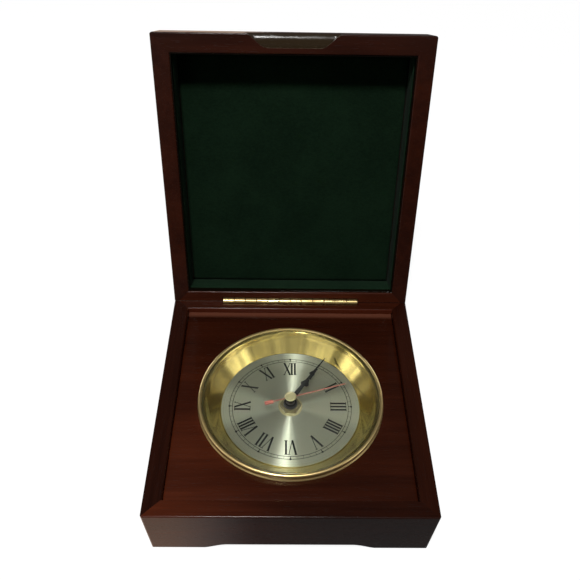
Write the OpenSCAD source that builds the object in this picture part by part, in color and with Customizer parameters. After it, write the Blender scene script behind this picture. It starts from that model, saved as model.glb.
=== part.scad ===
// A hinged box clock. Four mitred rails and a recessed panel make the base, and a brass dial pan
// with its quartz movement is let into the panel. The lid is a felt-lined tray on a barrel hinge,
// drawn open, where the bevelled back edges of lid and base meet and hold it.
// X runs to the right, Y to the back and Z up. The feet stand on Z = 0.

/* [Box] */
// Width of the box, left to right
box_w = 150; // [130:1:180]
// Depth of the box, front to back
box_d = 154; // [136:1:190]
// Height of the base, from the feet to the rail tops
base_h = 38; // [35:0.5:48]
// Height of the lid, from its rim to its top
lid_h = 25; // [20:0.5:34]
// Thickness of the mitred rails
rail_t = 9.5; // [8:0.5:11]
// Radius of the long arrises of the rails
arris_r = 0.7; // [0.3:0.1:1.2]
// Radius of the upright corners of the box
corner_r = 1.4; // [1.2:0.1:3]

/* [Feet and arches] */
// Length of each bracket foot, measured from the corner
foot_l = 25.5; // [18:0.5:30]
// Length of the curve between a foot and the arch
arch_run = 16; // [8:0.5:20]
// Height of the arch under each side
arch_h = 4.5; // [3:0.5:5]

/* [Panel and underside] */
// Depth of the panel below the rail tops
panel_drop = 3.5; // [2:0.5:5]
// Thickness of the panel
panel_t = 5; // [4:0.5:6]
// Radius of the panel's rounded arris
panel_r = 2; // [0.5:0.25:2.5]
// Gap between the panel and the rails
panel_gap = 0.1; // [0.1:0.1:0.8]
// Side of the glue block in each corner
block_w = 14; // [10:1:16]
// Width of the cleat along each side
cleat_w = 6; // [4:0.5:6]
// Height of the cleat along each side
cleat_h = 8; // [5:0.5:10]
// Height of the bottom board above the table
board_z = 7; // [5.5:0.5:8]
// Thickness of the bottom board
board_t = 3; // [2:0.5:4]
// Gap round the movement's case in the bottom board's service opening
access_gap = 3; // [1.5:0.5:7]
// Thickness of the felt under the bottom board
base_felt_t = 1.2; // [0.5:0.1:1.4]

/* [Lid] */
// Thickness of the lid's top board
lid_top_t = 5.5; // [4:0.5:7]
// Radius of the arris round the lid's top
lid_top_r = 2; // [1:0.25:3]
// Thickness of the padded felt on the lid's floor
pad_t = 2.5; // [1:0.25:4]
// Radius of the pad's rolled edge
pad_r = 1.2; // [0.5:0.1:1.5]
// Thickness of the felt on the lid's walls
wall_felt_t = 0.8; // [0.4:0.1:1.2]
// Length of the finger scoop's flat
scoop_flat = 28; // [20:1:34]
// Length of the curve at each end of the scoop
scoop_run = 12.5; // [6:0.5:16]
// Depth of the scoop into the rim
scoop_depth = 6.6; // [4:0.2:7]
// Height of the scoop up the lid's front
scoop_rise = 9.5; // [6:0.5:12]

/* [Hinge] */
// Angle through which the lid opens
open_angle = 110; // [95:1:120]
// Distance of the hinge pin from the back face
pin_inset = 3; // [2.5:0.25:3.5]
// Gap between lid and base when the box is shut
joint_gap = 0.3; // [0.2:0.1:0.6]
// Length of the hinge
hinge_l = 87; // [60:1:100]
// Radius of the hinge's barrel
barrel_r = 2.3; // [2:0.1:2.6]
// Radius of the hinge pin
pin_r = 1; // [0.8:0.05:1.2]
// Number of knuckles on the barrel
knuckles = 12; // [6:2:16]
// Thickness of the hinge leaves
leaf_t = 0.9; // [0.6:0.1:1.2]
// Reach of each leaf from the pin into its saw kerf
leaf_reach = 9; // [6:0.5:11]

/* [Clock insert] */
// Distance of the clock's centre behind the box's centre
clock_y = -2; // [-3:0.5:3]
// Width of panel that shows beside the bezel
wood_side_w = 12.25; // [11:0.25:14]
// Width of the bezel's rim
rim_w = 2.4; // [1.8:0.05:3]
// Height of the bezel above the panel
bezel_rise = 4.2; // [3.4:0.1:5]
// Step between the bezel's foot and its rounded rim
bezel_step = 0.5; // [0.3:0.1:0.8]
// Thickness of the bezel's skirt
skirt_t = 0.7; // [0.5:0.1:1]
// Length of the skirt below the panel's face
skirt_l = 9; // [8:0.5:10]
// Width of the retaining ring under the panel
ring_w = 3.4; // [2:0.2:4]
// Height of the retaining ring
ring_h = 2.5; // [1.5:0.25:2.75]
// Depth of the dial below the top of the bezel
dial_drop = 11.6; // [11:0.2:12.2]
// Width of the pan's sloping wall, seen from above
pan_slope_w = 10.3; // [8:0.1:13]
// Thickness of the pan's sheet brass
pan_t = 0.8; // [0.5:0.1:1]
// Width of the ledge that the glass rests on
seat_w = 0.9; // [0.6:0.1:1.2]
// Thickness of the glass
glass_t = 1.4; // [1:0.1:1.6]
// Height of the glass dome at its middle
glass_rise = 4.8; // [4.4:0.2:6]
// Thickness of the dial plate
dial_t = 0.6; // [0.4:0.1:0.8]

/* [Hands] */
// Time that the hands show, in hours after twelve
hours_now = 1.095; // [0:0.001:11.999]
// Second at which the second hand stands
seconds_now = 12.1; // [0:0.1:59.9]
// Reach of the hour hand as a share of the dial's radius
hour_share = 0.52; // [0.45:0.01:0.62]
// Reach of the minute hand as a share of the dial's radius
minute_share = 0.92; // [0.8:0.01:0.96]
// Reach of the second hand as a share of the dial's radius
second_share = 0.825; // [0.74:0.005:0.92]
// Reach of the second hand's tail as a share of the dial's radius
tail_share = 0.38; // [0.2:0.005:0.4]
// Thickness of the hands
hand_t = 0.3; // [0.2:0.05:0.4]
// Radius of the round brass cap on the hands
cap_r = 3.4; // [2.8:0.1:4.5]

/* [Movement] */
// Width of the movement's case
case_w = 56; // [50:0.5:58]
// Depth of the movement's case
case_h = 16; // [16:0.25:17]
// Thickness of the case's walls
case_t = 1.2; // [0.8:0.1:1.2]
// Radius of the case's corners
case_r = 3; // [1:0.5:4]
// Gap on each side of the cell in its bay
cell_gap = 0.35; // [0.3:0.05:0.6]
// Length of the contact spring behind the cell
spring_l = 3.15; // [2:0.05:4]
// Radius of the setting knob on the back
knob_r = 6; // [4:0.5:7]
// Height of the setting knob
knob_h = 2.8; // [1.5:0.1:3]

/* [Wheels] */
// Distance from the centre arbor to the third arbor, as a share of the case's width
third_share = 0.152; // [0.147:0.001:0.16]
// Distance from the centre arbor to the intermediate arbor, as a share of the case's width
inter_share = 0.156; // [0.152:0.001:0.16]
// Distance from the intermediate arbor to the rotor, as a share of the case's width
rotor_share = 0.161; // [0.157:0.001:0.168]
// Distance from the centre arbor to the minute wheel's arbor, and from there to the setting
// shaft, as a share of the case's width
motion_share = 0.157; // [0.152:0.001:0.16]
// Radius of the rotor's magnet as a share of the case's width
magnet_share = 0.054; // [0.045:0.001:0.057]
// Radius of the thin arbors
arbor_r = 0.4; // [0.3:0.05:0.4]

/* [Hidden] */

$fn = 64;
// Long cuts run past the wood by this much
over = 1;
// Circles as flat as the glass dome take more segments
dome_fn = 720;
// Points on each half of a drawn curve
curve_steps = 12;

mahogany = [0.23, 0.07, 0.05];
board_brown = [0.35, 0.22, 0.12];
felt_green = [0.03, 0.13, 0.08];
brass = [0.83, 0.66, 0.30];
dial_silver = [0.72, 0.72, 0.70];
case_black = [0.08, 0.08, 0.09];
steel = [0.66, 0.67, 0.69];
wheel_white = [0.86, 0.86, 0.82];

// The lid turns on a pin in the joint's plane, and both back edges are bevelled to half its angle.
pin_y = box_d / 2 - pin_inset;
pin_z = base_h;
bevel = open_angle / 2;
// Half of the gap between the bevels when they meet
stop_gap = 0.15;
barrel_gap = 0.3;
kerf_gap = 0.05;
run_gap = 0.06;
knuckle_gap = 0.12;
knuckle_l = hinge_l / knuckles;
lid_reach = box_d - pin_inset;
lid_rail_h = lid_h - lid_top_t;
lid_floor_z = lid_rail_h;

// The open clock stands centred on the origin, so the box's own centre lies in front of it.
open_back = pin_y + lid_top_r - (lid_reach - lid_top_r) * cos(open_angle)
    + (lid_h - lid_top_r) * sin(open_angle);
open_mid_y = (open_back - box_d / 2) / 2;

inner_w = box_w - 2 * rail_t;
inner_d = box_d - 2 * rail_t;
panel_z = base_h - panel_drop;
hole_gap = 0.15;
// The clock fills the narrower way across the box, less the wood beside it.
bezel_r = min(inner_w, inner_d - 2 * abs(clock_y)) / 2 - wood_side_w;
rim_in_r = bezel_r - rim_w;
skirt_r = rim_in_r + skirt_t;
block_h = panel_z - panel_t - board_z - board_t;
cleat_end_gap = 2;
board_gap = 0.2;
felt_margin = 2;
screw_r = 1.4;
screw_head_r = 2.8;
screw_head_h = 1.6;
screw_l = 11;
screw_slot_w = 0.6;
screw_slot_h = 0.8;
soft_gap = 0.3;

// Heights in the clock are measured from the dial's face.
dial_z = panel_z + bezel_rise - dial_drop;
panel_face = dial_drop - bezel_rise;
foot_t = 1;
foot_round = 0.4;
rim_round = 0.9;
glass_gap = 0.1;
glass_r = rim_in_r - glass_gap;
seat_z = dial_drop - glass_t - 2 * glass_gap;
seat_lip = 1;
pan_gap = 0.1;
pan_floor_r = glass_r - pan_slope_w;
hour_l = pan_floor_r * hour_share;
minute_l = pan_floor_r * minute_share;
second_l = pan_floor_r * second_share;
tail_l = pan_floor_r * tail_share;
bush_r = 4;
bush_top = 3.4;
shaft_hole_r = bush_r + pan_gap;
dial_edge_gap = 0.1;
washer_r = 7;
washer_t = 0.5;
nut_r = 6.2;
nut_t = 1.8;
rubber_r = 8;
rubber_t = 0.5;
case_top = -(dial_t + pan_t + rubber_t);

// The hand stack: pipe, arbor and spindle nest in each other with a running gap.
spindle_r = 0.5;
minute_tube_r = 1.6;
hour_pipe_r = 2.5;
hour_pipe_top = 5;
minute_tube_top = 7.6;
spindle_top = 9.7;
second_pipe_r = 1.9;
second_pipe_top_r = 2.6;
hour_hand_z = 4.5;
minute_hand_z = 6.9;
second_hand_z = 8.9;
cap_z = 9.3;
cap_t = 0.8;
cap_round = 0.35;
hand_rim = 1;
hour_spade_w = 5;
hour_waist_w = 1.2;
minute_spade_w = 3.4;
minute_waist_w = 1.1;
hand_tip_w = 0.4;
minute_boss_t = 0.5;
collar_rim = 0.6;
// Places of the lobes as shares of each hand's reach
hour_lobe_share = 0.74;
minute_lobe_share = 0.61;
// Round lobes and leaf of a spade as shares of its width, measured from the lobes' middle
lobe_off_share = 0.22;
lobe_r_share = 0.28;
leaf_share = [[-0.42, 0.16], [0, -0.20], [0.42, 0.16]];
leaf_top_share = 0.85;
second_boss_r = 1.3;
baton_w = 0.5;
weight_w = 2.5;
weight_l = 4.9;
hour_angle = -hours_now * 360 / 12;
minute_angle = -(hours_now - floor(hours_now)) * 360;
second_angle = -seconds_now * 360 / 60;

// The movement's works keep their places in the case's width. Wall of the battery bay, stator,
// its limbs and its core are placed by shares of that width.
third_l = case_w * third_share;
inter_l = case_w * inter_share;
rotor_l = case_w * rotor_share;
motion_l = case_w * motion_share;
magnet_r = case_w * magnet_share;
bay_wall_share = 0.2125;
stator_low_share = 0.218;
stator_high_share = 0.366;
limb_share = 0.304;
core_share = 0.4215;

// Levels in the movement are depths below the face of its case.
case_split = 8;
access_w = case_w + 2 * access_gap;
bay_wall_y = -case_w * bay_wall_share;
bay_wall_t = 1;
bay_gap = 0.3;
cell_r = (case_w / 2 - case_t + bay_wall_y) / 2 - cell_gap;
cell_y = bay_wall_y - cell_gap - cell_r;
cell_lift = 0.1;
cell_depth = case_t + cell_lift + cell_r;
cell_nub_r = 2.7;
cell_nub_l = 1;
cell_end_r = 0.6;
hour_level = 1.5;
motion_level = 2.9;
centre_level = 4.3;
third_level = 6.3;
seconds_level = 8;
inter_level = 9.6;
wheel_t = 0.7;
pinion_over = 0.3;
collar_r = 2.2;
collar_t = 0.5;
magnet_level = 10.7;
magnet_t = 2;
stator_level = 11.2;
stator_t = 1;
stator_gap = 0.5;
stator_y0 = case_w * stator_low_share;
stator_y1 = case_w * stator_high_share;
limb_x = case_w * limb_share;
limb_w = 4;
core_y = case_w * core_share;
core_w = 3;
coil_gap = 0.2;
coil_end_gap = 2;
coil_flange_r = min(case_w / 2 - case_t - core_y, case_h - case_t - stator_level - stator_t / 2)
    - soft_gap;
coil_r = coil_flange_r - soft_gap;
coil_flange_t = 0.8;
coil_l = 2 * (limb_x - limb_w / 2 - coil_end_gap);
board_pcb_w = 9;
board_pcb_x = case_w / 2 - case_t - soft_gap - board_pcb_w / 2;
board_pcb_l = 19;
board_pcb_level = 12.4;
board_pcb_t = 1;
post_r = 1.4;
crystal_r = 1.5;
crystal_l = 6;
end_play = 0.1;
pivot_depth = 0.6;
shaft_r = 1;
knob_gap = 0.3;
knurl_teeth = 24;
contact_t = 0.4;
contact_w = 8;
cell_l = case_w - 2 * case_t - contact_t - kerf_gap - cell_nub_l - spring_l;
cell_x = (spring_l - contact_t - kerf_gap - cell_nub_l) / 2;

// Teeth of the wheels, which give the ratios between the joints.
seconds_teeth = 60;
seconds_pinion = 8;
third_teeth = 60;
third_pinion = 8;
centre_teeth = 64;
inter_teeth = 60;
inter_pinion = 10;
rotor_pinion = 12;
cannon_teeth = 16;
minute_teeth = 48;
minute_pinion = 12;
hour_teeth = 48;
set_teeth = 16;

// Directions of the arbors, anticlockwise from the right
third_dir = 0;
inter_dir = 120;
rotor_dir = 100;
motion_dir = 200;
set_dir = 170;

// Half widths of a tooth at its root and tip as shares of the pitch, and its depths as shares of
// the module
root_half_share = 0.29;
tip_half_share = 0.10;
root_depth_share = 1.15;
tip_height_share = 0.85;

function polar(r, a) = [r * cos(a), r * sin(a)];
third_at = polar(third_l, third_dir);
inter_at = polar(inter_l, inter_dir);
rotor_at = inter_at + polar(rotor_l, rotor_dir);
motion_at = polar(motion_l, motion_dir);
set_at = motion_at + polar(motion_l, set_dir);

// The module of a pair follows from its centre distance, and a pitch radius from the module.
function module_of(distance, teeth_a, teeth_b) = 2 * distance / (teeth_a + teeth_b);
m_inter = module_of(inter_l, seconds_teeth, inter_pinion);
m_rotor = module_of(rotor_l, inter_teeth, rotor_pinion);
m_third = module_of(third_l, seconds_pinion, third_teeth);
m_centre = module_of(third_l, third_pinion, centre_teeth);
m_cannon = module_of(motion_l, cannon_teeth, minute_teeth);
m_hour = module_of(motion_l, minute_pinion, hour_teeth);

// A wheel turned to angle turn meets its partner at direction dir: this turns the partner so that
// one's teeth lie in the other's spaces.
function mesh_turn(turn, dir, teeth, partner) =
    dir + 180 - (turn - dir) * teeth / partner - 180 / partner;

// An S-curve from one height to another, as points
function s_curve(x0, y0, x1, y1) = [for (i = [0:2 * curve_steps])
    let (t = i / (2 * curve_steps))
    [x0 + (x1 - x0) * t, y0 + (y1 - y0) * (1 - cos(180 * t)) / 2]];

// Places. The box stands on the table, the pin lies in the joint, the lid turns on the pin, and
// the clock is measured from the middle of its dial's face.
module at_box() translate([0, -open_mid_y, 0]) children();
module at_pin() at_box() translate([0, pin_y, pin_z]) children();
module at_lid() at_pin() rotate([-open_angle, 0, 0]) children();
module at_lid_middle() at_lid() translate([0, pin_inset - box_d / 2, 0]) children();
module at_clock() at_box() translate([0, clock_y, dial_z]) children();
module at_level(depth) translate([0, 0, case_top - depth]) children();

// A rectangle with round corners, centred
module soft_outline(w, d, r) {
    square([w - 2 * r, d], center = true);
    square([w, d - 2 * r], center = true);
    for (x = [-1, 1], y = [-1, 1])
        translate([x * (w / 2 - r), y * (d / 2 - r)])
            circle(r);
}

// A rectangle that stands on Y = 0, with only its upper corners round
module crowned_outline(w, h, r) {
    translate([-w / 2, 0])
        square([w, h - r]);
    translate([r - w / 2, 0])
        square([w - 2 * r, h]);
    for (x = [-1, 1])
        translate([x * (w / 2 - r), h - r])
            circle(r);
}

// Draws an outline in the YZ plane and runs it along X
module along_x(l) rotate([90, 0, 90]) linear_extrude(l, center = true) children();

// A plate that stands on Z = 0 with a round arris along all four upper edges
module crowned_plate(w, d, h, r) {
    intersection() {
        rotate([90, 0, 0])
            linear_extrude(d, center = true)
                crowned_outline(w, h, r);
        along_x(w)
            crowned_outline(d, h, r);
        linear_extrude(h)
            soft_outline(w, d, corner_r);
    }
}

function side_l(side) = side % 2 == 0 ? box_w : box_d;
function side_off(side) = side % 2 == 0 ? box_d / 2 : box_w / 2;

// Turns what is drawn for the front side to side 0 front, 1 right, 2 back or 3 left. There Y = 0
// is the outer face, and Y grows into the box.
module on_side(side) rotate(90 * side) translate([0, -side_off(side), 0]) children();

// One mitred rail of the frame that runs round the box, from z0 to z1
module mitred_rail(side, z0, z1) {
    l = side_l(side);
    intersection() {
        on_side(side)
            translate([0, rail_t / 2, (z0 + z1) / 2])
                along_x(l)
                    soft_outline(rail_t, z1 - z0, arris_r);
        on_side(side)
            translate([0, 0, z0])
                linear_extrude(z1 - z0)
                    polygon([[-l / 2, 0], [l / 2, 0], [l / 2 - rail_t, rail_t], [rail_t - l / 2, rail_t]]);
        translate([0, 0, z0])
            linear_extrude(z1 - z0)
                soft_outline(box_w, box_d, corner_r);
    }
}

// The arch between two bracket feet, cut through one side
module arch_cut(side) {
    x0 = side_l(side) / 2 - foot_l;
    x1 = x0 - arch_run;
    on_side(side)
        translate([0, rail_t / 2, 0])
            rotate([90, 0, 0])
                linear_extrude(rail_t + 2 * over, center = true)
                    polygon(concat([[x0, -over]], s_curve(x0, 0, x1, arch_h),
                        s_curve(-x1, arch_h, -x0, 0), [[-x0, -over]]));
}

// What the hinge takes out of the base, about the pin: the bevel along the back, the channel for
// the barrel and the saw kerf for the leaf. The lid's cut is its mirror image.
module hinge_cut() {
    u0 = -stop_gap / sin(bevel);
    reach = 2 * base_h;
    along_x(box_w + 2 * over)
        polygon([[u0, 0], [u0 + reach * cos(bevel), -reach * sin(bevel)],
            [u0 + reach, -reach * sin(bevel)], [u0 + reach, reach], [u0, reach]]);
    rotate([0, 90, 0])
        cylinder(h = hinge_l + 2 * barrel_gap, r = barrel_r + barrel_gap, center = true);
    translate([0, 0, -leaf_reach / 2])
        cube([hinge_l + 2 * kerf_gap, leaf_t + 2 * kerf_gap, leaf_reach + 2 * kerf_gap], center = true);
}

module base_rail(side) {
    color(mahogany)
        at_box()
            difference() {
                mitred_rail(side, 0, base_h - joint_gap / 2);
                arch_cut(side);
                if (side > 0)
                    translate([0, pin_y, pin_z])
                        hinge_cut();
            }
}

module base_rail_front() base_rail(0);
module base_rail_right() base_rail(1);
module base_rail_back() base_rail(2);
module base_rail_left() base_rail(3);

module dial_panel() {
    color(mahogany)
        at_box()
            difference() {
                translate([0, 0, panel_z - panel_t])
                    crowned_plate(inner_w - 2 * panel_gap, inner_d - 2 * panel_gap, panel_t, panel_r);
                translate([0, clock_y, panel_z - panel_t - over])
                    cylinder(h = panel_t + 2 * over, r = skirt_r + hole_gap);
            }
}

// Cleats glued along the left and right rails carry the panel
module panel_cleats() {
    l = inner_d - 2 * block_w - 2 * cleat_end_gap;
    color(board_brown)
        at_box()
            for (x = [-1, 1])
                translate([x * (inner_w - cleat_w) / 2, 0, panel_z - panel_t - cleat_h / 2])
                    cube([cleat_w, l, cleat_h], center = true);
}

// Puts children at the middle of each corner block
module at_blocks() {
    for (x = [-1, 1], y = [-1, 1])
        translate([x * (inner_w - block_w) / 2, y * (inner_d - block_w) / 2, board_z + board_t])
            children();
}

module corner_blocks() {
    color(board_brown)
        at_box()
            at_blocks()
                difference() {
                    translate([-block_w / 2, -block_w / 2, 0])
                        cube([block_w, block_w, block_h]);
                    translate([0, 0, -over])
                        cylinder(h = screw_l - board_t + over, r = screw_r + kerf_gap);
                }
}

module base_board() {
    color(board_brown)
        at_box()
            difference() {
                translate([0, 0, board_z + board_t / 2])
                    cube([inner_w - 2 * board_gap, inner_d - 2 * board_gap, board_t], center = true);
                translate([0, clock_y, board_z])
                    linear_extrude(3 * board_t, center = true)
                        soft_outline(access_w, access_w, case_r);
                at_blocks()
                    screw(kerf_gap, 0);
            }
}

// A countersunk screw that hangs below Z = 0 by the board's thickness and bites upwards
module screw(grow, slot) {
    difference() {
        translate([0, 0, -board_t])
            rotate_extrude()
                polygon([[0, 0], [screw_head_r + grow, 0], [screw_r + grow, screw_head_h],
                    [screw_r + grow, screw_l], [0, screw_l]]);
        if (slot > 0)
            translate([0, 0, -board_t])
                cube([3 * screw_head_r, screw_slot_w, 2 * slot], center = true);
    }
}

module board_screws() {
    color(steel)
        at_box()
            at_blocks()
                screw(0, screw_slot_h);
}

module base_felt() {
    color(felt_green)
        at_box()
            difference() {
                translate([0, 0, board_z - base_felt_t])
                    linear_extrude(base_felt_t)
                        soft_outline(inner_w - 2 * felt_margin, inner_d - 2 * felt_margin, corner_r);
                translate([0, clock_y, board_z])
                    linear_extrude(3 * base_felt_t, center = true)
                        soft_outline(access_w + felt_margin, access_w + felt_margin, case_r);
            }
}

// The finger scoop: its outline on the rim, run up the front as a cove
module scoop_cut() {
    x0 = scoop_flat / 2 + scoop_run;
    x1 = scoop_flat / 2;
    intersection() {
        on_side(0)
            linear_extrude(2 * scoop_rise, center = true)
                polygon(concat([[x0, -over]], s_curve(x0, 0, x1, scoop_depth),
                    s_curve(-x1, scoop_depth, -x0, 0), [[-x0, -over]]));
        on_side(0)
            scale([1, scoop_depth / scoop_rise, 1])
                rotate([0, 90, 0])
                    cylinder(h = box_w, r = scoop_rise, center = true);
    }
}

// The lid is drawn shut here, with its rim just above the pin's plane
module lid_rail(side) {
    color(mahogany)
        at_lid()
            difference() {
                translate([0, pin_inset - box_d / 2, 0])
                    mitred_rail(side, joint_gap / 2, lid_rail_h);
                if (side == 0)
                    translate([0, pin_inset - box_d / 2, 0])
                        scoop_cut();
                if (side > 0)
                    mirror([0, 0, 1])
                        hinge_cut();
            }
}

module lid_rail_front() lid_rail(0);
module lid_rail_right() lid_rail(1);
module lid_rail_back() lid_rail(2);
module lid_rail_left() lid_rail(3);

module lid_top_board() {
    color(mahogany)
        at_lid_middle()
            translate([0, 0, lid_rail_h])
                crowned_plate(box_w, box_d, lid_top_t, lid_top_r);
}

// A card covered in padded felt, its rolled edge towards the opening
module lid_floor_felt() {
    w = inner_w - 2 * wall_felt_t - 2 * soft_gap;
    d = inner_d - 2 * wall_felt_t - 2 * soft_gap;
    color(felt_green)
        at_lid_middle()
            translate([0, 0, lid_floor_z])
                mirror([0, 0, 1])
                    crowned_plate(w, d, pad_t, pad_r);
}

module lid_wall_felt() {
    h = lid_rail_h - joint_gap / 2 - arris_r;
    color(felt_green)
        at_lid_middle()
            translate([0, 0, lid_floor_z - h])
                linear_extrude(h)
                    difference() {
                        square([inner_w, inner_d], center = true);
                        square([inner_w - 2 * wall_felt_t, inner_d - 2 * wall_felt_t], center = true);
                    }
}

// One half of the hinge: every second knuckle with the leaf that hangs from it into the kerf
module hinge_half(first) {
    web_top = barrel_r + barrel_gap;
    difference() {
        union() {
            translate([-hinge_l / 2, -leaf_t / 2, -leaf_reach])
                cube([hinge_l, leaf_t, leaf_reach - web_top]);
            for (i = [first:2:knuckles - 1])
                translate([knuckle_l * (i + 1 / 2) - hinge_l / 2, 0, 0]) {
                    rotate([0, 90, 0])
                        cylinder(h = knuckle_l - knuckle_gap, r = barrel_r, center = true);
                    translate([0, 0, -web_top / 2 - leaf_t / 2])
                        cube([knuckle_l - knuckle_gap, leaf_t, web_top], center = true);
                }
        }
        rotate([0, 90, 0])
            cylinder(h = hinge_l + 2 * over, r = pin_r + run_gap, center = true);
    }
}

module hinge_leaf_base() color(brass) at_pin() hinge_half(0);
module hinge_leaf_lid() color(brass) at_lid() mirror([0, 0, 1]) hinge_half(1);

module hinge_pin() {
    color(brass)
        at_pin()
            rotate([0, 90, 0])
                cylinder(h = hinge_l, r = pin_r, center = true);
}

// The bezel: a bead on the panel, a rounded rim above it and a skirt down through the panel's hole
module bezel_ring() {
    color(brass)
        at_clock()
            rotate_extrude() {
                translate([(rim_in_r + bezel_r) / 2, panel_face])
                    crowned_outline(bezel_r - rim_in_r, foot_t, foot_round);
                translate([(rim_in_r + bezel_r - bezel_step) / 2, panel_face])
                    crowned_outline(bezel_r - bezel_step - rim_in_r, bezel_rise, rim_round);
                translate([rim_in_r, panel_face - skirt_l])
                    square([skirt_t, skirt_l + bezel_rise / 2]);
            }
}

// A ring screwed up the skirt against the panel's underside clamps the insert
module retaining_ring() {
    color(steel)
        at_clock()
            rotate_extrude()
                translate([skirt_r + kerf_gap, panel_face - panel_t - ring_h])
                    square([ring_w, ring_h]);
}

// The spun brass pan: a flat floor, the sloping wall that mirrors the dial, and the glass ledge
module dial_pan() {
    color(brass)
        at_clock()
            rotate_extrude()
                polygon([[shaft_hole_r, -dial_t], [pan_floor_r, -dial_t],
                    [glass_r - seat_w, seat_z], [glass_r, seat_z], [glass_r, seat_z - seat_lip],
                    [pan_floor_r + pan_t, -dial_t - pan_t], [shaft_hole_r, -dial_t - pan_t]]);
}

module glass() {
    dome_r = (glass_r * glass_r + glass_rise * glass_rise) / (2 * glass_rise);
    color("lightcyan", 0.3)
        at_clock()
            rotate_extrude()
                intersection() {
                    translate([0, seat_z])
                        square([glass_r - glass_gap, glass_rise + 2 * glass_t]);
                    translate([0, seat_z + glass_rise - dome_r])
                        difference() {
                            circle(dome_r + glass_t, $fn = dome_fn);
                            circle(dome_r, $fn = dome_fn);
                        }
                }
}

module dial_plate() {
    color(dial_silver)
        at_clock()
            translate([0, 0, -dial_t])
                tube(dial_t, pan_floor_r - dial_edge_gap, shaft_hole_r);
}

// A washer or tube that stands on Z = 0
module tube(h, r_out, r_in) {
    difference() {
        cylinder(h = h, r = r_out);
        translate([0, 0, -over])
            cylinder(h = h + 2 * over, r = r_in);
    }
}

module dial_washer() color(brass) at_clock() tube(washer_t, washer_r, shaft_hole_r);

module mounting_nut() {
    color(brass)
        at_clock()
            translate([0, 0, washer_t])
                difference() {
                    cylinder(h = nut_t, r = nut_r, $fn = 6);
                    translate([0, 0, -over])
                        cylinder(h = nut_t + 2 * over, r = bush_r + kerf_gap);
                }
}

module rubber_washer() {
    color(case_black)
        at_clock()
            translate([0, 0, case_top])
                tube(rubber_t, rubber_r, shaft_hole_r);
}

// A spade hand that points along Y: a tapered waist, two round lobes and the drawn-out point
module spade_hand(l, lobe_y, spade_w, waist_w, boss_r, bore_r) {
    leaf_top = lobe_y + leaf_top_share * spade_w;
    difference() {
        linear_extrude(hand_t)
            union() {
                circle(boss_r);
                polygon([[-waist_w, 0], [waist_w, 0], [waist_w / 2, lobe_y], [-waist_w / 2, lobe_y]]);
                for (x = [-lobe_off_share, lobe_off_share])
                    translate([x * spade_w, lobe_y])
                        circle(lobe_r_share * spade_w);
                polygon(concat([for (p = leaf_share) [p.x * spade_w, lobe_y + p.y * spade_w]],
                    [[waist_w / 2, leaf_top], [hand_tip_w / 2, l], [-hand_tip_w / 2, l],
                        [-waist_w / 2, leaf_top]]));
            }
        translate([0, 0, -over])
            cylinder(h = hand_t + 2 * over, r = bore_r);
    }
}

module hour_hand() {
    color("black")
        at_clock()
            translate([0, 0, hour_hand_z])
                rotate(hour_angle)
                    spade_hand(hour_l, hour_l * hour_lobe_share, hour_spade_w, hour_waist_w,
                        hour_pipe_r + hand_rim, hour_pipe_r + kerf_gap);
}

module minute_hand() {
    color("black")
        at_clock()
            translate([0, 0, minute_hand_z])
                rotate(minute_angle) {
                    spade_hand(minute_l, minute_l * minute_lobe_share, minute_spade_w, minute_waist_w,
                        minute_tube_r + hand_rim, minute_tube_r + kerf_gap);
                    tube(minute_boss_t, minute_tube_r + collar_rim, minute_tube_r + kerf_gap);
                }
}

// A thin baton with a square counterweight on its tail
module second_hand() {
    color("firebrick")
        at_clock()
            translate([0, 0, second_hand_z])
                rotate(second_angle)
                    difference() {
                        linear_extrude(hand_t) {
                            circle(second_boss_r);
                            translate([-baton_w / 2, -tail_l])
                                square([baton_w, tail_l + second_l]);
                            translate([-weight_w / 2, -tail_l])
                                square([weight_w, weight_l]);
                        }
                        translate([0, 0, -over])
                            cylinder(h = hand_t + 2 * over, r = spindle_r + kerf_gap);
                    }
}

// The second hand's own pipe presses on the spindle and widens to the hand
module second_pipe() {
    foot = minute_tube_top + end_play;
    pipe_l = second_hand_z - foot;
    color(brass)
        at_clock()
            translate([0, 0, foot])
                difference() {
                    cylinder(h = pipe_l, r1 = second_pipe_r, r2 = second_pipe_top_r);
                    translate([0, 0, -over])
                        cylinder(h = pipe_l + 2 * over, r = spindle_r + kerf_gap);
                }
}

module hand_cap() {
    color(brass)
        at_clock()
            translate([0, 0, cap_z])
                rotate_extrude()
                    difference() {
                        intersection() {
                            translate([0, cap_t / 2])
                                soft_outline(2 * cap_r, cap_t, cap_round);
                            square([cap_r, cap_t]);
                        }
                        square([spindle_r + kerf_gap, spindle_top - cap_z + kerf_gap]);
                    }
}

// A toothed disc that stands on Z = 0, with tooth 0 along X, turned to an angle
module toothed(teeth, size, h, turn = 0) {
    pitch_r = teeth * size / 2;
    root_r = pitch_r - root_depth_share * size;
    tip_r = pitch_r + tip_height_share * size;
    step = 360 / teeth;
    rotate(turn)
        linear_extrude(h)
            polygon([for (i = [0:teeth - 1], side = [-1, 1], end = [0, 1])
                let (out = side < 0 ? end : 1 - end)
                let (half = out == 1 ? tip_half_share : root_half_share)
                polar(out == 1 ? tip_r : root_r, step * (i + side * half))]);
}

// Puts children at a depth in the case, drawn upwards from there
module layer(level, h) at_clock() at_level(level + h) children();

// An arbor that runs between two depths
module arbor(d0, d1, r) at_clock() at_level(d1) cylinder(h = d1 - d0, r = r);

module on(place) translate([place.x, place.y, 0]) children();

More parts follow.
